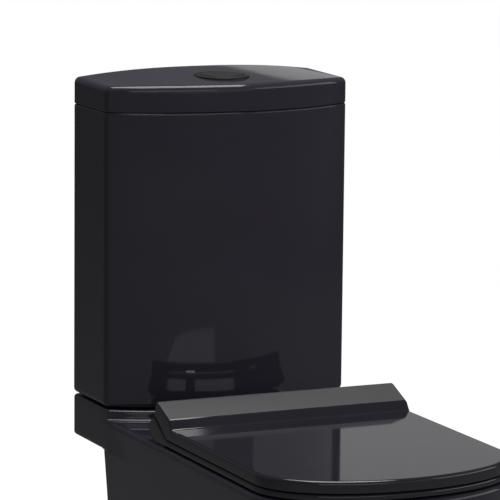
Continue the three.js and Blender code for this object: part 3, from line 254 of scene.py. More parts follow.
def upright(name, spot, low, high, radius, count=40):
    """A round bar that stands on a spot in plan, from one height to another."""
    return rod(name, (spot[0], spot[1], low), (spot[0], spot[1], high), radius, count)


def axle(low, high, radius, count=64):
    """A round bar along the hinge axis."""
    return rod("axle", (low, HINGE.y, HINGE.z), (high, HINGE.y, HINGE.z), radius, count)


def block(name, low, high):
    corners = np.array([[low[0], low[1]], [high[0], low[1]], [high[0], high[1]], [low[0], high[1]]])
    return loft(name, [at_level(corners, low[2]), at_level(corners, high[2])])


def arc(centre, radius, start, end, count):
    """Points and outward normals of an arc, angles in radians, both ends included."""
    angles = np.linspace(start, end, count)
    normals = np.stack([np.cos(angles), np.sin(angles)], 1)
    return np.array(centre) + radius * normals, normals


def line(start, end, normal, count):
    """Points strictly between two ends, with one normal."""
    t = np.linspace(0, 1, count + 2)[1:-1, None]
    points = np.array(start) * (1 - t) + np.array(end) * t
    return points, np.repeat(np.array([normal], float), count, 0)


def mirrored(*halves):
    """Adds the left half to each array of a right half, which runs from the front to the back."""
    flip = np.array([-1.0, 1.0])
    return [np.concatenate([half, (half * flip)[::-1][1:-1]]) for half in halves]


def chain(*parts):
    """Strings (points, normals) parts into one pair."""
    return [np.concatenate(kind) for kind in zip(*parts)]


def back_middle(y):
    """The point that closes a right half at the back."""
    return np.array([[0.0, y]]), np.array([[0.0, 1.0]])


# ------------------------------------------------------------------ outlines in plan


def bow_outline(half, side, bow, corner, back_corner=TANK_BACK_CORNER):
    """Flat back and sides and a front that bows out on one arc. Gives points and outward normals."""
    radius = (half**2 + bow**2) / (2 * bow)
    centre = WALL - side - bow + radius
    fillet = (half - corner, centre - math.sqrt((radius - corner) ** 2 - (half - corner) ** 2))
    meet = math.atan2(fillet[1] - centre, fillet[0])
    back = WALL - back_corner
    parts = [
        arc((0, centre), radius, -math.pi / 2, meet, 56),
        arc(fillet, corner, meet, 0, 10),
        line((half, fillet[1]), (half, back), (1, 0), 14),
        arc((half - back_corner, back), back_corner, 0, math.pi / 2, 6),
        line((half - back_corner, WALL), (0, WALL), (0, 1), 20),
        back_middle(WALL),
    ]
    points, normals = chain(*parts)
    keep = np.r_[True, np.linalg.norm(np.diff(points, axis=0), axis=1) > 1e-6]
    return mirrored(points[keep], normals[keep])


def nose(half, straight, front, count):
    """The right half of a rounded front, from its tip to where the straight side starts."""
    angles = np.linspace(math.pi / 2, 0, count)
    across, along = np.cos(angles), np.sin(angles)
    across[0] = 0
    along[-1] = 0
    power = 2 / ROUND_FRONT
    length = front - straight
    x = across**power * half
    y = along**power * length
    steep_x = (x / half) ** (ROUND_FRONT - 1) / half
    steep_y = (y / length) ** (ROUND_FRONT - 1) / length
    normals = np.stack([steep_x, -steep_y], 1)
    normals /= np.linalg.norm(normals, axis=1)[:, None]
    return np.stack([x, WALL - straight - y], 1), normals


# ------------------------------------------------------------------ materials


def material(name, colour, roughness, metallic=0.0):
    made = bpy.data.materials.new(name)
    made.use_nodes = True
    shader = made.node_tree.nodes["Principled BSDF"]
    shader.inputs["Base Color"].default_value = (*colour, 1)
    shader.inputs["Roughness"].default_value = roughness
    shader.inputs["Metallic"].default_value = metallic
    return made, made.node_tree, shader


def noise(tree, scale, detail=3.0, roughness=0.5, stretch=(1, 1, 1)):
    place = tree.nodes.new("ShaderNodeTexCoord")
    mapping = tree.nodes.new("ShaderNodeMapping")
    mapping.inputs["Scale"].default_value = stretch
    texture = tree.nodes.new("ShaderNodeTexNoise")
    texture.inputs["Scale"].default_value = scale
    texture.inputs["Detail"].default_value = detail
    texture.inputs["Roughness"].default_value = roughness
    tree.links.new(place.outputs["Object"], mapping.inputs["Vector"])
    tree.links.new(mapping.outputs["Vector"], texture.inputs["Vector"])
    return texture.outputs["Fac"]


def spread(tree, value, low, high, start=0.3, end=0.7):
    ramp = tree.nodes.new("ShaderNodeMapRange")
    ramp.inputs["From Min"].default_value = start
    ramp.inputs["From Max"].default_value = end
    ramp.inputs["To Min"].default_value = low
    ramp.inputs["To Max"].default_value = high
    tree.links.new(value, ramp.inputs["Value"])
    return ramp.outputs["Result"]


def mottle(tree, shader, value, dark, light):
    """Lets the base colour drift between two tones."""
    mix = tree.nodes.new("ShaderNodeMix")
    mix.data_type = "RGBA"
    mix.inputs["A"].default_value = (*dark, 1)
    mix.inputs["B"].default_value = (*light, 1)
    tree.links.new(spread(tree, value, 0, 1), mix.inputs["Factor"])
    tree.links.new(mix.outputs["Result"], shader.inputs["Base Color"])


def sheen(tree, shader, value, low, high):
    """Lets the roughness drift between two values."""
    tree.links.new(spread(tree, value, low, high), shader.inputs["Roughness"])


def bumps(tree, shader, layers):
    """Stacks bump layers, each (height output, strength, distance in metres)."""
    previous = None
    for height, strength, distance in layers:
        bump = tree.nodes.new("ShaderNodeBump")
        bump.inputs["Strength"].default_value = strength
        bump.inputs["Distance"].default_value = distance
        tree.links.new(height, bump.inputs["Height"])
        if previous is not None:
            tree.links.new(previous, bump.inputs["Normal"])
        previous = bump.outputs["Normal"]
    tree.links.new(previous, shader.inputs["Normal"])


FINE = 0.1 * MM  # depth of the finest surface grain


def glaze_material():
    """Black glaze on vitreous china: a deep gloss with a faint ripple, smudges and tiny pinholes."""
    made, tree, shader = material("black_glaze", (0.037, 0.0335, 0.049), 0.05)
    shader.inputs["IOR"].default_value = 1.5
    shader.inputs["Specular IOR Level"].default_value = 0.5
    mottle(tree, shader, noise(tree, 9, 4), (0.035, 0.0315, 0.0465), (0.039, 0.0355, 0.052))
    sheen(tree, shader, noise(tree, 14, 5, 0.6), 0.035, 0.085)
    ripple, pinholes = noise(tree, 7, 2), noise(tree, 240, 2)
    bumps(tree, shader, [(ripple, 0.12, 2 * MM), (pinholes, 0.035, 0.2 * MM)])
    return made


def seat_material(name, tint, low_gloss, high_gloss):
    """Pressed black thermoset with the finest orange peel and faint wiping marks."""
    made, tree, shader = material(name, tint, low_gloss)
    shader.inputs["IOR"].default_value = 1.6
    light = tuple(value * 1.2 for value in tint)
    mottle(tree, shader, noise(tree, 16, 4), tint, light)
    sheen(tree, shader, noise(tree, 10, 6, 0.65, stretch=(1, 5, 1)), low_gloss, high_gloss)
    bumps(tree, shader, [(noise(tree, 420, 2), 0.04, FINE)])
    return made


def button_material():
    """Satin black plating, slightly uneven in its sheen."""
    made, tree, shader = material("satin_black", (0.024, 0.024, 0.025), 0.45)
    shader.inputs["Specular IOR Level"].default_value = 0.22
    sheen(tree, shader, noise(tree, 60, 5), 0.42, 0.54)
    bumps(tree, shader, [(noise(tree, 900, 2), 0.05, FINE)])
    return made


def moulded(name, dark, light, roughness):
    """Moulded plastic: slight mottling, a fine matt skin and flow marks."""
    made, tree, shader = material(name, light, roughness)
    mottle(tree, shader, noise(tree, 40, 4), dark, light)
    sheen(tree, shader, noise(tree, 90, 4), roughness - 0.07, roughness + 0.07)
    skin, flow = noise(tree, 1500, 2), noise(tree, 60, 2, stretch=(1, 1, 6))
    bumps(tree, shader, [(skin, 0.12, FINE), (flow, 0.05, 0.3 * MM)])
    return made


def rubber(name, dark, light):
    """Moulded rubber with a dull, grainy skin."""
    made, tree, shader = material(name, light, 0.75)
    mottle(tree, shader, noise(tree, 70, 5), dark, light)
    sheen(tree, shader, noise(tree, 200, 3), 0.62, 0.85)
    bumps(tree, shader, [(noise(tree, 2200, 3), 0.25, FINE)])
    return made


def metal(name, dark, light, roughness, stretch):
    """Drawn or turned metal, with its fine lines running one way."""
    made, tree, shader = material(name, light, roughness, 1.0)
    lines = noise(tree, 300, 4, 0.7, stretch=stretch)
    mottle(tree, shader, lines, dark, light)
    sheen(tree, shader, lines, roughness - 0.08, roughness + 0.1)
    bumps(tree, shader, [(lines, 0.08, FINE)])
    return made


GLAZE = glaze_material()
THERMOSET = seat_material("black_thermoset", (0.020, 0.0185, 0.026), 0.04, 0.08)
# A rougher copy of the thermoset for the hinge block's top: its satin roughness is real, its lighter tint is a
# painted highlight.
BLOCK_TOP_SATIN_PAINTED_HIGHLIGHT = seat_material("black_thermoset_satin_painted_highlight", (0.052, 0.051, 0.054), 0.46, 0.52)
SATIN = button_material()
WHITE = moulded("white_acetal", (0.66, 0.65, 0.60), (0.78, 0.77, 0.73), 0.42)
BLUE = moulded("blue_plastic", (0.035, 0.11, 0.36), (0.05, 0.15, 0.45), 0.4)
BLACK_RUBBER = rubber("black_rubber", (0.022, 0.022, 0.023), (0.04, 0.04, 0.041))
GREY_RUBBER = rubber("grey_rubber", (0.30, 0.30, 0.29), (0.40, 0.40, 0.385))
STEEL = metal("stainless_steel", (0.50, 0.51, 0.52), (0.66, 0.67, 0.68), 0.24, (1, 1, 0.08))
BRASS = metal("brass", (0.52, 0.37, 0.15), (0.68, 0.50, 0.23), 0.3, (1, 1, 0.1))

LOOKS = {
    "glaze": GLAZE,
    "seat_plastic": THERMOSET,
    "button_black": SATIN,
    "white_plastic": WHITE,
    "blue_plastic": BLUE,
    "grey_rubber": BLACK_RUBBER,
    "clear_rubber": GREY_RUBBER,
    "steel": STEEL,
    "brass": BRASS,
}
SLOT_OF = {row["node"]: row["material_slot"] for row in frame["record"]["subparts"]}
REPLACED = {"pan_bowl", "pan_trapway"}


def paint(piece, look):
    piece.data.materials.clear()
    piece.data.materials.append(look)
    return piece


def stand_for(piece, node, body):
    """The detailed piece takes a CAD node's place, its body and its finish."""
    paint(piece, LOOKS[SLOT_OF[node]])
    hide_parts(node)
    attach(piece, body)
    REPLACED.add(node)


# ------------------------------------------------------------------ cistern


def rounded_wall(points, normals, low, high, low_round, high_round, levels=12, steps=6):
    """Rings up a wall whose lower and upper edges are rounded."""
    rings = []
    for share, rise in quarter(steps):
        rings.append(at_level(points - normals * low_round * (1 - share), low + low_round * rise))
    for z in np.linspace(low + low_round, high - high_round, levels)[1:-1]:
        rings.append(at_level(points, z))
    for share, rise in quarter(steps):
        rings.append(at_level(points - normals * high_round * rise, high - high_round * (1 - share)))
    return rings


def make_cistern():
    points, normals = bow_outline(HALF, TANK_SIDE, TANK_BOW, TANK_CORNER)
    low, high = TANK_LOW.z, TANK_HIGH.z
    body = loft("cistern_body", rounded_wall(points, normals, low, high, 7 * MM, 2.5 * MM, 20))
    inner = points - normals * TANK_WALL
    rings = rounded_wall(inner, normals, low + TANK_FLOOR, high + 4 * MM, 4 * MM, SHARP, 8)
    cutters = [loft("inside", rings)]
    for node, radius, count in (("flush_valve_backnut", 31.6, 64), ("coupling_bolt_left", 6.5, 40),
                                ("coupling_bolt_right", 6.5, 40), ("fill_valve_backnut", 10.6, 40)):
        cutters.append(upright("hole", middle(node), low - 5 * MM, low + TANK_FLOOR + 5 * MM,
                               radius * MM, count))
    stand_for(smooth(cut(body, *cutters)), "cistern", "pan_and_cistern")


def crown_height(points):
    """How far the lid's top rises over its shoulder: most at the back and in the middle."""
    share = np.clip((WALL - points[:, 1]) / TANK_DEPTH, 0, 1)
    ridge = CROWN_REAR + (CROWN_FRONT - CROWN_REAR) * share
    return ridge * (1 - CROWN_FALL * np.abs(points[:, 0] / HALF) ** CROWN_POWER)


def make_cistern_lid():
    points, normals = bow_outline(HALF, TANK_SIDE, TANK_BOW, TANK_CORNER)
    low_round, high_round, steps = 2 * MM, 7.5 * MM, 10
    edge = LID_LOW.z + LIP_DEPTH
    rings = []
    for share, rise in quarter(steps):
        rings.append(at_level(points - normals * low_round * (1 - share), edge + low_round * rise))
    wall_low = edge + low_round
    wall_rise = LID_SHOULDER + crown_height(points) - high_round - wall_low
    for t in np.linspace(0, 1, 8)[1:-1]:
        rings.append(np.column_stack([points, wall_low + wall_rise * t]))
    for share, rise in quarter(steps):
        inset = points - normals * high_round * rise
        top = LID_SHOULDER + crown_height(inset)
        rings.append(np.column_stack([inset, top - high_round * (1 - share)]))
    centre = np.array([0.0, WALL - 0.5 * TANK_DEPTH])
    for share in np.linspace(1, 0, 22)[1:-1]:
        spot = centre + (points - normals * high_round - centre) * share
        rings.append(np.column_stack([spot, LID_SHOULDER + crown_height(spot)]))
    body = loft("cistern_lid_body", rings)
    lip_inset = TANK_WALL + 2 * MM
    lip_low, lip_high = LID_LOW.z, LID_LOW.z + LIP_DEPTH + 3 * MM
    lip_points = points - normals * lip_inset
    lip = loft("lip", rounded_wall(lip_points, normals, lip_low, lip_high, 1.5 * MM, SHARP, 4))
    seat = BEZEL_HIGH.z - BEZEL_THICK - GAP
    ceiling = seat - 12 * MM
    hollow_points = points - normals * (lip_inset + 5.9 * MM)
    hollow = loft("hollow", rounded_wall(hollow_points, normals * 0.5, lip_low - 2 * MM, ceiling,
                                         SHARP, 5 * MM, 5))
    top = LID_HIGH.z + 10 * MM
    bezel = (0, middle("button_bezel").y)
    opening = upright("hole", bezel, ceiling - 5 * MM, top, 33.2 * MM, 96)
    wide = 38.7 * MM
    recess = turned("recess", bezel, [(FINE, seat), (wide, seat), (wide, top), (FINE, top)], 96)
    cut(join(body, lip), hollow, opening, recess)
    stand_for(smooth(body), "cistern_lid", "cistern_lid")


# ------------------------------------------------------------------ pan


def taper(points, z):
    """Draws the pedestal's outline in towards the foot."""
    depth = min(max((DECK - z) / DECK, 0), 1)
    out = points.copy()
    out[:, 0] *= 1 - FOOT_NARROWING * depth
    back = WALL - FOOT_BACK
    ahead = out[:, 1] < back
    out[ahead, 1] = back + (out[ahead, 1] - back) * (1 - FOOT_SHORTENING * depth**1.6)
    return out


def pan_outlines():
    """The pedestal's outline and the same points spread round the ledge behind it."""
    back, corner, ledge_corner = WALL - FOOT_BACK, 8 * MM, 7 * MM
    tip_count, side_count, rear_count = 52, 46, 34
    front = [
        nose(HALF, PAN_STRAIGHT, PAN_DEPTH, tip_count),
        line((HALF, WALL - PAN_STRAIGHT), (HALF, back - corner), (1, 0), side_count),
    ]
    pedestal = mirrored(*chain(
        *front,
        arc((HALF - corner, back - corner), corner, 0, math.pi / 2, 8),
        line((HALF - corner, back), (0, back), (0, 1), rear_count - 8),
        back_middle(back)))
    full = mirrored(*chain(
        *front,
        line((HALF, back - corner), (HALF, WALL - ledge_corner), (1, 0), 14),
        arc((HALF - ledge_corner, WALL - ledge_corner), ledge_corner, 0, math.pi / 2, 7),
        line((HALF - ledge_corner, WALL), (0, WALL), (0, 1), rear_count - 14 - 7),
        back_middle(WALL)))
    on_ledge = np.concatenate([np.zeros(tip_count + side_count), np.ones(rear_count + 1)])
    return pedestal, full, np.concatenate([on_ledge, on_ledge[::-1][1:-1]])


def make_pan_body():
    """The skirt, and the ledge that overhangs behind it, as one loft whose sides run flush."""
    (ped, ped_normals), (full, full_normals), on_ledge = pan_outlines()
    ledge_low = LEDGE_TOP - LEDGE_HEIGHT
    edge_round, rim_round, top_round, foot_round = 6 * MM, 8 * MM, 5 * MM, 3 * MM
    ease = lambda t: np.clip(t, 0, 1) ** 2 * (3 - 2 * np.clip(t, 0, 1))
    upright = np.maximum(on_ledge, ease((full[:, 1] - (WALL - 200 * MM)) / (80 * MM)))[:, None]
    fade = ease((WALL - LEDGE_SIDE - full[:, 1]) / (22 * MM))[:, None]

    def wall(z, inset):
        ring = full - full_normals * inset
        return at_level(taper(ring, z) * (1 - upright) + ring * upright, z)

    rings = []
    for share, rise in quarter(4):
        z = foot_round * rise
        rings.append(at_level(taper(ped - ped_normals * foot_round * (1 - share), z), z))
    for z in np.linspace(foot_round, ledge_low, 24)[1:]:
        rings.append(at_level(taper(ped, z), z))
    for share, rise in quarter(5):
        rings.append(wall(ledge_low + edge_round * rise, on_ledge[:, None] * edge_round * (1 - share)))
    for z in np.linspace(ledge_low + edge_round, DECK - rim_round, 5)[1:]:
        rings.append(wall(z, 0))
    for share, rise in quarter(7)[1:]:
        rings.append(wall(DECK - rim_round + rim_round * share, fade * rim_round * rise))
    shoulder = LEDGE_TOP - top_round
    rings.append(wall(shoulder, fade * rim_round))
    for share, rise in quarter(6)[1:]:
        rings.append(wall(shoulder + top_round * share, fade * rim_round + top_round * rise))
    return loft("pan_body", rings)


def deck_cutter():
    """Everything above the deck in front of the ledge, with a hollow fillet at the ledge's foot."""
    half = HALF + 40 * MM
    radius = (HALF**2 + LEDGE_BOW**2) / (2 * LEDGE_BOW)
    centre = WALL - LEDGE_SIDE - LEDGE_BOW + radius
    x = np.linspace(-half, half, 120)
    fillet, top_round = 5 * MM, 5 * MM
    foot, crest = DECK - 0.02 * MM, LEDGE_TOP - top_round
    levels = [(foot + fillet * rise, fillet * (1 - share)) for share, rise in quarter(6)]
    levels.append((crest, 0.0))
    levels += [(LEDGE_TOP - top_round * (1 - share), -top_round * rise) for share, rise in quarter(6)[1:]]
    levels.append((LEDGE_TOP + 20 * MM, -top_round))
    far = WALL - PAN_DEPTH - 60 * MM
    across = np.minimum(np.abs(x), HALF * 1.25)
    rings = []
    for z, ahead in levels:
        y = centre - np.sqrt(np.maximum((radius + ahead) ** 2 - across**2, 1e-6))
        outline = np.concatenate([np.column_stack([x, y]), [[half, far], [-half, far]]])
        rings.append(at_level(outline, z))
    return loft("deck_cutter", rings)


def oval(half_width, half_length, centre_y, count=128, exponent=2.2):
    angles = np.arange(count) * 2 * math.pi / count
    across, along = np.cos(angles), np.sin(angles)
    x = np.sign(across) * np.abs(across) ** (2 / exponent) * half_width
    y = np.sign(along) * np.abs(along) ** (2 / exponent) * half_length
    return np.column_stack([x, y + centre_y])


BOWL_HALF = (HALF - 47 * MM, 160 * MM)
BOWL_CENTRE = WALL - 512 * MM
BOWL_FLOOR = 156 * MM
BOWL_SHIFT = 62 * MM
BOWL_SHRINK = 0.68
TRAP_RADIUS = 36 * MM
TRAP_CREST = 312 * MM
OUTLET_HEIGHT = 187 * MM
SPIGOT_END = WALL - 48 * MM
CHANNEL_WIDER = 13 * MM
CHANNEL_HEIGHT = 16 * MM


def bowl_oval(grown, z):
    return at_level(oval(BOWL_HALF[0] + grown, BOWL_HALF[1] + grown, BOWL_CENTRE), z)


def bowl_form(wall, low, high, flare=0.0):
    """The bowl's inside grown by a wall. A flare rounds its top edge outward."""
    rings = []
    floor_round = 14 * MM
    for z in np.linspace(low, high, 40):
        depth = min(max((DECK - z) / (DECK - BOWL_FLOOR), 0), 1)
        scale = 1 - BOWL_SHRINK * depth**2.3
        tuck = floor_round * (1 - math.sqrt(1 - (1 - min((z - low) / floor_round, 1)) ** 2))
        outline = oval((BOWL_HALF[0] + wall) * scale - tuck, (BOWL_HALF[1] + wall) * scale - tuck, 0)
        outline[:, 1] += BOWL_CENTRE + BOWL_SHIFT * depth**1.5
        rings.append(at_level(outline, z))
    if flare:
        for rise, out in quarter(7)[1:]:
            rings.append(bowl_oval(flare * out, high + flare * rise))
        rings.append(bowl_oval(flare, DECK + 5 * MM))
    return loft("bowl_form", rings)


def smooth_path(points, count):
    """A centripetal spline through given points, resampled evenly in number."""
    points = [Vector(p) for p in points]
    ends = [points[0] * 2 - points[1]] + points + [points[-1] * 2 - points[-2]]
    out = []
    for i in range(1, len(ends) - 2):
        a, b, c, d = ends[i - 1:i + 3]
        for t in np.linspace(0, 1, count, endpoint=False):
            out.append(0.5 * ((2 * b) + (c - a) * t + (2 * a - 5 * b + 4 * c - d) * t**2
                              + (3 * b - a - 3 * c + d) * t**3))
    out.append(points[-1])
    return out


def pipe(name, path, radius, count=48):
    """A round tube of solid section along a path that stays in the middle plane."""
    rings = []
    for i, spot in enumerate(path):
        ahead = path[min(i + 1, len(path) - 1)] - path[max(i - 1, 0)]
        ahead.normalize()
        side = Vector((1, 0, 0))
        up = side.cross(ahead).normalized()
        angles = np.arange(count) * 2 * math.pi / count
        rings.append(np.array([spot + radius * (math.cos(a) * side + math.sin(a) * up) for a in angles]))
    return loft(name, rings)


def trap_path():
    """The middle line of the trapway, from the sump over its weir to the outlet."""
    inlet = BOWL_FLOOR + TRAP_RADIUS + 1 * MM
    shoulder = TRAP_CREST - 20 * MM
    route = [
        (-452, inlet), (-410, inlet + 2 * MM), (-372, 241.5 * MM), (-336, shoulder), (-300, TRAP_CREST),
        (-264, shoulder), (-238, 244.5 * MM), (-204, OUTLET_HEIGHT + 12 * MM), (-150, OUTLET_HEIGHT),
        (-88, OUTLET_HEIGHT)]
    return smooth_path([(0, WALL + y * MM, z) for y, z in route], 7)


def pedestal_form(inset, low, high):
    (ped, normals), _, _ = pan_outlines()
    ring_at = lambda z: at_level(taper(ped - normals * inset, z), z)
    return loft("pedestal_form", [ring_at(z) for z in np.linspace(low, high, 18)])


def channel(wall, low, high):
    """The hollow of the box rim, grown by a wall."""
    return loft("channel", [bowl_oval(CHANNEL_WIDER + wall, z) for z in (low, high)])


def make_spigot(start):
    """The outlet's round end, with its outer edge eased."""
    end, radius, count = SPIGOT_END, 51 * MM, 72
    rings = []
    for ring_radius, y in ((radius, start), (radius, end - 12 * MM), (radius, end - 2.5 * MM),
                           (50.3 * MM, end - 0.7 * MM), (48.5 * MM, end)):
        flat = circle(ring_radius, count)
        rings.append(np.column_stack([flat[:, 0], np.full(count, y), flat[:, 1] + OUTLET_HEIGHT]))
    return loft("spigot", rings)


def make_pan():
    body = cut(make_pan_body(), deck_cutter())
    valve = (0, middle("button_bezel").y)
    ledge_low, ledge_over = LEDGE_TOP - LEDGE_HEIGHT, LEDGE_TOP + 5 * MM
    deck_under = DECK - DECK_THICK
    duct_low, duct_half = deck_under - 20 * MM, 34 * MM
    duct_end = BOWL_CENTRE + BOWL_HALF[1] + CHINA / 2
    recess = LEDGE_TOP - 24 * MM
    channel_low = deck_under - CHANNEL_HEIGHT

    cavity = pedestal_form(CHINA, -5 * MM, deck_under)
    core = bowl_form(CHINA, BOWL_FLOOR - CHINA, DECK - 1 * MM)
    join(
        core,
        channel(CHINA - 1 * MM, channel_low - CHINA, DECK - 2 * MM),
        pipe("trap_shell", trap_path(), TRAP_RADIUS + CHINA),
        block("duct_shell", (-duct_half - CHINA, duct_end, duct_low - CHINA),
              (duct_half + CHINA, valve[1], DECK - 2 * MM)),
        upright("cup", valve, duct_low - CHINA, LEDGE_TOP - 1 * MM, 58 * MM, 72),
    )
    boolean(cavity, core, "DIFFERENCE", keep_tool=True)
    points, normals = bow_outline(HALF - 1.5 * MM, LEDGE_SIDE, LEDGE_BOW, TANK_CORNER, 7 * MM)
    under = points - normals * 12 * MM
    hollow = loft("ledge_hollow", rounded_wall(under, normals * 0.4, ledge_low - 5 * MM,
                                               LEDGE_TOP - 14 * MM, SHARP, 6 * MM, 4))
    cut(hollow, pedestal_form(0, -1 * MM, DECK + 2 * MM))
    boolean(hollow, core, "DIFFERENCE")
    spigot_y = WALL - FOOT_BACK - CHINA
    cut(body, cavity, hollow)
    join(body, make_spigot(spigot_y))
    cutters = [
        bowl_form(0, BOWL_FLOOR, DECK - 7 * MM, flare=7 * MM),
        channel(0, channel_low, channel_low + CHANNEL_HEIGHT),
        pipe("trap_bore", trap_path(), TRAP_RADIUS),
        rod("outlet_bore", (0, spigot_y - 20 * MM, OUTLET_HEIGHT),
            (0, SPIGOT_END + 5 * MM, OUTLET_HEIGHT), 41 * MM, 72),
        block("duct", (-duct_half, duct_end - 2 * CHINA, duct_low),
              (duct_half, valve[1], duct_low + 20 * MM)),
        upright("inlet", valve, duct_low, recess + 1 * MM, 36 * MM, 72),
        upright("recess", valve, recess, ledge_over, 48 * MM, 72),
        upright("fill_hole", middle("fill_valve_backnut"), ledge_low, ledge_over, 20 * MM, 48),
    ]
    screw = middle("pan_screw_right")
    for side, name in ((-1, "left"), (1, "right")):
        bolt, post = middle(f"coupling_bolt_{name}"), middle(f"hinge_post_{name}")
        cutters.append(upright("bolt_hole", bolt, ledge_low, ledge_over, 6.5 * MM))
        cutters.append(upright("hinge_hole", post, deck_under - 2 * MM, DECK + 2 * MM, 7 * MM))
        cutters.append(rod("screw_hole", (side * 110 * MM, screw.y, screw.z),
                           (side * HALF, screw.y, screw.z), 3.4 * MM))
    cut(body, *cutters)
    stand_for(smooth(body, 38), "pan", "pan_and_cistern")
    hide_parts("pan_bowl", "pan_trapway")


# ------------------------------------------------------------------ seat


def station_list(profile, half, straight, front, nose_count=40):
    """Stations along a seat form: upper and lower points of the side view, then the rounded nose.

    profile is a list of (upper y, upper z, lower y, lower z) up to where the sides stop being straight.
    """
    stations = []
    for upper_y, upper_z, lower_y, lower_z in profile:
        stations.append(((half, upper_y), (1.0, 0.0), upper_z, (half, lower_y), lower_z))
    points, normals = nose(half, straight, front, nose_count)
    last = profile[-1]
    for point, normal in zip(points[::-1], normals[::-1]):
        stations.append((tuple(point), tuple(normal), last[1], tuple(point), last[3]))
    return stations


def seat_form(name, stations, edge_in, edge_down, low_round, across=26, steps=8):
    """A solid seat form: every station gives one closed loop across the seat."""
    loops = []
    only_x, only_yz, flip = np.array([1, 0, 0]), np.array([0, 1, 1]), np.array([-1, 1, 1])
    for (ux, uy), (nx, ny), uz, (lx, ly), lz in stations:
        upper, lower = np.array([ux, uy, uz]), np.array([lx, ly, lz])
        normal = np.array([nx, ny, 0.0])
        rise = upper - lower
        height = np.linalg.norm(rise)
        rise = rise / max(height, 1e-9)
        down = min(edge_down, 0.6 * height)
        small = min(low_round, 0.3 * height)
        right = []
        for share, climb in quarter(3):
            right.append(lower - normal * small * (1 - share) + rise * small * climb)
        right.append(lower + rise * (small + 0.5 * (height - down - small)))
        for share, climb in quarter(steps):
            right.append(upper - rise * down * (1 - share) - normal * edge_in * climb)
        right = np.array(right)
        right[:, 0] = np.maximum(right[:, 0], 0)
        left = right * flip
        shares = np.linspace(1, -1, across + 2)[1:-1, None]
        top = right[-1] * only_x * shares + right[-1] * only_yz
        bottom = left[0] * only_x * shares + left[0] * only_yz
        loops.append(np.concatenate([right, top, left[::-1], bottom]))
    return loft(name, loops)


def fillet_profile(corners, reaches, steps=5):
    """Rounds each inner corner of a polyline of (y, z) points, starting its reach away."""
    out = [Vector(corners[0])]
    for i in range(1, len(corners) - 1):
        before, here, after = (Vector(corners[j]) for j in (i - 1, i, i + 1))
        a, b = (before - here), (after - here)
        reach = min(reaches[i], 0.45 * a.length, 0.45 * b.length)
        start, end = here + a.normalized() * reach, here + b.normalized() * reach
        for t in np.linspace(0, 1, steps + 1):
            out.append(start * (1 - t) ** 2 + here * 2 * t * (1 - t) + end * t**2)
    out.append(Vector(corners[-1]))
    return out


def resample(points, count):
    lengths = [0.0]
    for a, b in zip(points, points[1:]):
        lengths.append(lengths[-1] + (b - a).length)
    out = []
    for target in np.linspace(0, lengths[-1], count):
        k = min(max(np.searchsorted(lengths, target) - 1, 0), len(points) - 2)
        span = lengths[k + 1] - lengths[k]
        t = (target - lengths[k]) / span if span else 0
        out.append(points[k].lerp(points[k + 1], float(t)))
    return out


def hinge_point(y, z):
    """A point of the side view given in millimetres from the hinge axis."""
    return (HINGE.y + y * MM, HINGE.z + z * MM)


LID_TOP = LID_UNDER + 15.8 * MM
FLAT_Y = HINGE.y - 90 * MM  # where the seat's side view turns flat
STRAIGHT_Y = WALL - SEAT_STRAIGHT


def pair_up(upper, lower, count):
    """Matches the upper and lower lines of a side view, point for point."""
    return [(*high, *low) for high, low in zip(resample(upper, count), resample(lower, count))]


def lid_profile(skin=0.0):
    """Pairs of upper and lower points of the seat lid's side view, from its rear edge forward."""
    s = skin
    ceiling = LID_TOP - (6 * MM if s else 0)
    foot = HINGE.y - (57 - s * 800) * MM
    upper = fillet_profile([
        hinge_point(2 - 1000 * s, 1), hinge_point(-5 - 600 * s, 19 - 1300 * s),
        hinge_point(-48 + 1000 * s, 2 - 1000 * s), (foot, ceiling), (FLAT_Y, ceiling)],
        [0, 3.0 * MM, 1.2 * MM, 1.2 * MM, 0], 7)
    under = LID_UNDER - (5 * MM if s else 0)
    lower = fillet_profile([
        hinge_point(-3 - 1000 * s, -2.5 - 1000 * s), hinge_point(-5, -2.5 - 1000 * s),
        (HINGE.y - 41 * MM, under), (FLAT_Y, under)], [0, 1 * MM, 5 * MM, 0], 5)
    pairs = pair_up(upper, lower, 70)
    for y in np.linspace(FLAT_Y, STRAIGHT_Y, 14)[1:-1]:
        pairs.append((y, ceiling, y, under))
    return pairs


def knuckle(name, left, right, radius, count=40):
    """A hinge barrel about the hinge axis with rounded ends."""
    ends = 0.8 * MM
    rings = []
    for x, r in ((left, radius - ends), (left + ends, radius),
                 (right - ends, radius), (right, radius - ends)):
        flat = circle(r, count)
        rings.append(np.column_stack([np.full(count, x), flat[:, 0] + HINGE.y, flat[:, 1] + HINGE.z]))
    return loft(name, rings)


def plate_between(name, points, left, right):
    """A side view made solid across x."""
    flat = np.array(points)
    rings = [np.column_stack([np.full(len(flat), x), flat]) for x in (left, right)]
    return loft(name, rings)


POST_HALF = 10 * MM
POST_X = middle("hinge_post_right").x
EAR = 12 * MM
EAR_INNER = POST_X - POST_HALF - RUN - EAR
EAR_OUTER = POST_X + POST_HALF + RUN + EAR
KNUCKLE = 6 * MM
PIN_BORE = 3.3 * MM


def both_sides(low, high):
    """A span of x and its mirror image."""
    return ((low, high), (-high, -low))


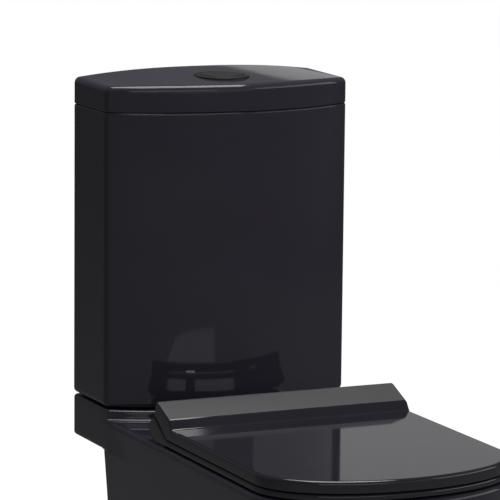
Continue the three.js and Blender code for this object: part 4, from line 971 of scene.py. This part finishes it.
def make_seat_lid():
    stations = station_list(lid_profile(), SEAT_HALF, SEAT_STRAIGHT, SEAT_FRONT)
    body = seat_form("seat_lid_body", stations, 4.5 * MM, 4.5 * MM, 1.5 * MM)
    inset, reach = 6 * MM, SEAT_HALF - 3 * MM
    inner = station_list(lid_profile(0.005), SEAT_HALF - inset, SEAT_STRAIGHT, SEAT_FRONT - inset)
    cut(body, seat_form("lid_hollow", inner, 3 * MM, 3 * MM, SHARP))
    side_view = [hinge_point(-5, 0), hinge_point(1, 1.8), hinge_point(-4.4, 16.6), hinge_point(-9, 15.5)]
    join(body, plate_between("web", side_view, -reach, reach), knuckle("barrel", -reach, reach, KNUCKLE))
    for left, right in both_sides(EAR_INNER - RUN, POST_X + POST_HALF + RUN):
        cut(body, axle(left, right, 11 * MM))
    pin_end = EAR_OUTER + 9 * MM
    cut(body, axle(-pin_end, pin_end, PIN_BORE, 40))
    stand_for(smooth(body, 36), "seat_lid", "seat_lid")
    # Upward faces on top of the hinge block get the lighter copy: a painted highlight where the block's top
    # catches the light.
    body.data.materials.append(BLOCK_TOP_SATIN_PAINTED_HIGHLIGHT)
    for face in body.data.polygons:
        on_block = face.center.z > HINGE.z + 1.5 * MM and face.center.y < HINGE.y - 2 * MM
        if on_block and face.normal.z > 0.8:
            face.material_index = 1


RING_TOP = RING_UNDER + 8.2 * MM
RING_CROWN = 5 * MM


def rear_turn(radius):
    """The ring's round rear edge about the hinge axis, its radius in millimetres."""
    return [hinge_point(radius * math.cos(a), radius * math.sin(a))
            for a in np.radians(np.linspace(-38, -90, 9))]


def ring_profile():
    """Pairs of upper and lower points of the ring's side view, from its rear edge forward."""
    turn = rear_turn(31)
    upper = fillet_profile([
        turn[0], hinge_point(2, -1), hinge_point(-2, -6), (HINGE.y - 40 * MM, RING_TOP),
        (FLAT_Y, RING_TOP)], [0, 2 * MM, 2 * MM, 8 * MM, 0])
    under = fillet_profile([turn[-1], (HINGE.y - 0.5 * MM, RING_UNDER), (FLAT_Y, RING_UNDER)],
                           [0, 2 * MM, 0], 3)
    pairs = pair_up(upper, [Vector(p) for p in turn] + under, 70)[1:]
    for y in np.linspace(FLAT_Y, STRAIGHT_Y, 14)[1:-1]:
        pairs.append((y, RING_TOP, y, RING_UNDER))
    return pairs


def ring_crown():
    """The raised middle of the ring, which swells up out of its flat edge."""
    inset, corner = 18 * MM, 12 * MM
    half, rear = SEAT_HALF - inset, HINGE.y - 54 * MM
    tip, tip_normals = nose(half, SEAT_STRAIGHT, SEAT_FRONT - inset, 52)
    parts = [
        (tip, tip_normals),
        line((half, STRAIGHT_Y), (half, rear - corner), (1, 0), 40),
        arc((half - corner, rear - corner), corner, 0, math.pi / 2, 10),
        line((half - corner, rear), (0, rear), (0, 1), 24),
        back_middle(rear),
    ]
    points, normals = mirrored(*chain(*parts))
    rings = [at_level(points, RING_TOP - 2 * MM)]
    for t in np.linspace(0, 1, 10):
        rise = t * t * (3 - 2 * t)
        level = RING_TOP - 0.2 * MM + (RING_CROWN + 0.2 * MM) * rise
        rings.append(at_level(points - normals * 11 * MM * t, level))
    return loft("ring_crown", rings)


def ring_hole():
    """Cuts the ring's hole and leaves both of its edges rounded."""
    low, high = RING_UNDER - 1 * MM, RING_TOP + RING_CROWN
    low_round, high_round = 2.5 * MM, 7 * MM
    half_width, half_length, centre = SEAT_HALF - 59 * MM, 138 * MM, WALL - 522 * MM
    ring = lambda grow, z: at_level(oval(half_width + grow, half_length + grow, centre, 144, 2.3), z)
    rings = [ring(low_round, low)]
    rings += [ring(low_round * (1 - share), RING_UNDER + low_round * rise) for share, rise in quarter(4)]
    rings += [ring(high_round * rise, high - high_round + high_round * share) for share, rise in quarter(8)]
    rings.append(ring(high_round, high + 3 * MM))
    return loft("ring_hole", rings)


def make_seat_ring():
    flat, wide = SEAT_HALF + 5 * MM, SEAT_HALF - 5 * MM
    sweep, notch = KNUCKLE + RUN, POST_HALF + RUN
    stations = station_list(ring_profile(), SEAT_HALF, SEAT_STRAIGHT, SEAT_FRONT)
    body = seat_form("seat_ring_body", stations, 3 * MM, 3 * MM, 2 * MM)
    deep, front, inner_top = RING_UNDER - 5 * MM, HINGE.y - 60 * MM, RING_TOP - 5 * MM
    inside = rear_turn(26) + [
        (HINGE.y, deep), (front, deep), (front, inner_top), (HINGE.y - 40 * MM, inner_top),
        hinge_point(-2, -12.5), hinge_point(-3, -6)]
    join(body, ring_crown())
    cut(body, plate_between("ring_hollow", inside, -wide, wide), ring_hole(), axle(-flat, flat, sweep))
    web = [hinge_point(-5, 0), hinge_point(5, 0), hinge_point(8, -24), hinge_point(-22, -24)]
    for low, high in both_sides(EAR_INNER, EAR_INNER + EAR):
        join(body, knuckle("ear", low, high, KNUCKLE), plate_between("ear_web", web, low, high))
    cutters = [axle(-EAR_INNER, EAR_INNER, sweep), axle(-flat, flat, PIN_BORE)]
    for low, high in both_sides(POST_X - notch, POST_X + notch):
        cutters.append(block("notch", (low, HINGE.y - 12 * MM, RING_UNDER - 1 * MM),
                             (high, HINGE.y + 60 * MM, HINGE.z + 30 * MM)))
    for low, high in both_sides(POST_X - notch, EAR_OUTER + RUN) + both_sides(EAR_OUTER, flat):
        cutters.append(axle(low, high, sweep))
    for x in (-POST_X, POST_X):
        cutters.append(upright("plate_room", (x, HINGE.y), RING_UNDER - 1 * MM, DECK + 6.5 * MM,
                               23.5 * MM, 72))
    room = Vector((RUN, RUN, GAP))
    for node in (name for name in frame["nodes"] if name.startswith("ring_buffer")):
        low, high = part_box(node)
        cutters.append(block("pocket", low - room - Vector((0, 0, 2 * MM)), high + room))
    cut(body, *cutters)
    stand_for(smooth(body, 36), "seat_ring", "seat_ring")


# ------------------------------------------------------------------ button


def make_bezel():
    """A low ring that rises from the lid's crown in one shallow sweep round the two buttons."""
    centre = middle("button_bezel").xy
    outer = (BEZEL_HIGH.x - BEZEL_LOW.x) / 2
    bore, tube = BUTTON_RADIUS + RUN, BUTTON_RADIUS + RUN + 2.5 * MM
    low, top = BEZEL_LOW.z, BEZEL_HIGH.z
    seat, floor = top - BEZEL_THICK, low + 2 * MM
    lip, drop = 1.2 * MM, 2.3 * MM
    profile = [(bore, floor), (tube, floor), (tube, seat), (outer, seat), (outer, top - drop)]
    for share, rise in quarter(8)[1:]:
        profile.append((bore + lip + (outer - bore - lip) * (1 - rise), top - drop * (1 - share)))
    for share, rise in quarter(5)[1:]:
        profile.append((bore + lip * (1 - share), top - lip * rise))
    body = turned("button_bezel_body", centre, profile, 96)
    join(body, upright("guide", centre, low, low + 3 * MM, tube, 96))
    for spring in ("half_button_spring", "full_button_spring"):
        cut(body, upright("rod_hole", middle(spring), low - 1 * MM, low + 5 * MM, 3.1 * MM, 32))
    stand_for(smooth(body), "button_bezel", "cistern_lid")


def make_button(node, body_name):
    """One part of the split button: a slightly dished disc with a rounded rim, cut along the split."""
    low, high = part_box(node)
    centre = (0.0, middle("button_bezel").y)
    rim, dish, ease = 1.4 * MM, 0.9 * MM, 0.4 * MM
    profile = [(SHARP, low.z), (BUTTON_RADIUS - ease, low.z), (BUTTON_RADIUS, low.z + ease)]
    for share, rise in quarter(7):
        profile.append((BUTTON_RADIUS - rim * rise, high.z - rim * (1 - share)))
    for share in np.linspace(1, 0, 14)[1:]:
        radius = max((BUTTON_RADIUS - rim) * share, SHARP)
        profile.append((radius, high.z - dish * (1 - share**2) ** 1.3))
    body = turned(f"{node}_body", centre, profile, 96)
    reach = BUTTON_RADIUS + 5 * MM
    on_left = abs(low.x) > BUTTON_RADIUS - 1 * MM
    start, end = (high.x, reach) if on_left else (-reach, low.x)
    cut(body, block("side", (start, centre[1] - reach, low.z - 1 * MM),
                    (end, centre[1] + reach, high.z + 1 * MM)))
    stand_for(smooth(body, 30, bevel=(0.5 * MM, 60, 3)), node, body_name)


def make_spring(node):
    """A wound spring with closed ends."""
    low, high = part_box(node)
    x, y = middle(node).xy
    wire = 0.55 * MM
    mean = (high.x - low.x) / 2 - wire
    turns, steps, sides = 6.5, 26, 10
    bottom, top = low.z + wire, high.z - wire
    up = np.array([0, 0, 1])
    around = np.arange(sides) * 2 * math.pi / sides
    rings = []
    count = int(turns * steps)
    for i in range(count + 1):
        angle = 2 * math.pi * i / steps
        turned_by = i / count * turns
        climb = min(max((turned_by - 1) / (turns - 2), 0), 1)
        closed = min(turned_by, 1) + max(turned_by - turns + 1, 0) - 1
        level = bottom + (top - bottom) * climb + wire * 1.9 * closed
        level = min(max(level, bottom), top)
        out = np.array([math.cos(angle), math.sin(angle), 0])
        spot = np.array([x, y, level]) + out * mean
        rings.append(np.array([spot + wire * (math.cos(a) * out + math.sin(a) * up) for a in around]))
    piece = loft(f"{node}_wire", rings)
    stand_for(smooth(piece, 60), node, "cistern_lid")
    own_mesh(piece)


# ------------------------------------------------------------------ remaining CAD nodes


def dress_cad(node):
    """A CAD node keeps its mesh and gets softened edges, smooth round faces and its material."""
    piece = paint(frame["nodes"][node], LOOKS[SLOT_OF[node]])
    smooth(piece, 30, bevel=(0.5 * MM, 40, 2))


# ------------------------------------------------------------------ stage, light and camera


ROOM_LIGHT = 0.105
FLOOR_SEEN = 0.98
FLOOR_GLOW = 0.115
FLOOR_GLOW_BEHIND = 0.045


def emission(tree, strength):
    light = tree.nodes.new("ShaderNodeEmission")
    light.inputs["Strength"].default_value = strength
    return light


def make_stage():
    """A pale floor, lit evenly, that shows white with a soft shadow under the toilet."""
    size = 16.0
    corners = [(-size, -size, 0), (size, -size, 0), (size, size, 0), (-size, size, 0)]
    floor = make_object("floor", corners, [(0, 1, 2, 3)])
    made = bpy.data.materials.new("pale_floor")
    made.use_nodes = True
    tree = made.node_tree
    tree.nodes.clear()
    output = tree.nodes.new("ShaderNodeOutputMaterial")
    diffuse = tree.nodes.new("ShaderNodeBsdfDiffuse")
    diffuse.inputs["Color"].default_value = (0.17, 0.17, 0.17, 1)
    path = tree.nodes.new("ShaderNodeLightPath")
    mix = tree.nodes.new("ShaderNodeMixShader")
    add = tree.nodes.new("ShaderNodeAddShader")
    tree.links.new(path.outputs["Is Camera Ray"], mix.inputs["Fac"])
    place = tree.nodes.new("ShaderNodeTexCoord")
    split = tree.nodes.new("ShaderNodeSeparateXYZ")
    tree.links.new(place.outputs["Object"], split.inputs["Vector"])
    glow = emission(tree, FLOOR_GLOW)
    fading = spread(tree, split.outputs["Y"], FLOOR_GLOW, FLOOR_GLOW_BEHIND, -1.2, 0.4)
    tree.links.new(fading, glow.inputs["Strength"])
    tree.links.new(glow.outputs["Emission"], mix.inputs[1])
    tree.links.new(emission(tree, FLOOR_SEEN).outputs["Emission"], mix.inputs[2])
    tree.links.new(mix.outputs["Shader"], add.inputs[0])
    tree.links.new(diffuse.outputs["BSDF"], add.inputs[1])
    tree.links.new(add.outputs["Shader"], output.inputs["Surface"])
    paint(floor, made)


def area_light(name, place, aim, width, height, radiance):
    data = bpy.data.lights.new(name, "AREA")
    data.shape = "RECTANGLE"
    data.size, data.size_y = width, height
    data.energy = radiance * math.pi * width * height
    lamp = bpy.data.objects.new(name, data)
    lamp.location = place
    lamp.visible_camera = False
    lamp.rotation_euler = (Vector(aim) - Vector(place)).to_track_quat("-Z", "Y").to_euler()
    bpy.context.scene.collection.objects.link(lamp)


def make_world():
    """A white backdrop for the camera and a dim even room for everything else."""
    world = bpy.data.worlds.new("studio")
    world.use_nodes = True
    tree = world.node_tree
    tree.nodes.clear()
    output = tree.nodes.new("ShaderNodeOutputWorld")
    path = tree.nodes.new("ShaderNodeLightPath")
    mix = tree.nodes.new("ShaderNodeMixShader")
    seen, lit = (tree.nodes.new("ShaderNodeBackground") for _ in range(2))
    seen.inputs["Color"].default_value = (1, 1, 1, 1)
    lit.inputs["Color"].default_value = (0.97, 0.97, 1, 1)
    seen.inputs["Strength"].default_value = 1.0
    lit.inputs["Strength"].default_value = ROOM_LIGHT
    tree.links.new(path.outputs["Is Camera Ray"], mix.inputs["Fac"])
    tree.links.new(lit.outputs["Background"], mix.inputs[1])
    tree.links.new(seen.outputs["Background"], mix.inputs[2])
    tree.links.new(mix.outputs["Shader"], output.inputs["Surface"])
    bpy.context.scene.world = world


def make_lights():
    """Softboxes: name, place, where it points, width, height and radiance."""
    area_light("overhead", (0.1, 0.15, 2.7), (0.1, 0.15, 0), 1.5, 1.5, 5.5)
    area_light("front", (-0.3, -5.3, 1.5), (-0.3, 0, 1.2), 7.0, 2.4, 0.33)
    area_light("front_left", (-1.1, -5.0, 1.5), (-0.1, 0, 0.9), 4.2, 1.8, 0.6)
    area_light("front_right", (2.7, -1.54, 1.5), (0, 0.18, 1.1), 3.2, 1.4, 1.2)
    area_light("behind_low", (2.55, 4.5, 1.45), (0.15, -0.2, 0.41), 1.7, 0.6, 0.3)


def make_camera():
    """A long lens that looks down a little on the toilet from its front left."""
    yaw, pitch, roll = 0.42848, 0.15884, 0.01004
    place = (-1.88226, WALL - 4.31937, LEDGE_TOP + 0.94911)
    data = bpy.data.cameras.new("camera")
    data.sensor_width = 36.0
    data.lens = 241.164
    data.clip_end = 100
    camera = bpy.data.objects.new("camera", data)
    ahead = Vector((math.sin(yaw) * math.cos(pitch), math.cos(yaw) * math.cos(pitch), -math.sin(pitch)))
    level = Vector((math.cos(yaw), -math.sin(yaw), 0))
    upward = level.cross(ahead)
    right = math.cos(roll) * level + math.sin(roll) * upward
    up = math.cos(roll) * upward - math.sin(roll) * level
    turn = Matrix((right, up, -ahead)).transposed()
    camera.matrix_world = Matrix.Translation(place) @ turn.to_4x4()
    bpy.context.scene.collection.objects.link(camera)
    bpy.context.scene.camera = camera


# ------------------------------------------------------------------ build

bpy.context.scene.view_settings.view_transform = "Standard"
make_world()
make_stage()
make_lights()
make_camera()

make_cistern()
make_cistern_lid()
make_pan()
make_seat_lid()
make_seat_ring()
make_bezel()
make_button("half_flush_button", "half_button")
make_button("full_flush_button", "full_button")
make_spring("half_button_spring")
make_spring("full_button_spring")

for node_name in frame["nodes"]:
    if node_name not in REPLACED:
        dress_cad(node_name)

bpy.context.view_layer.update()
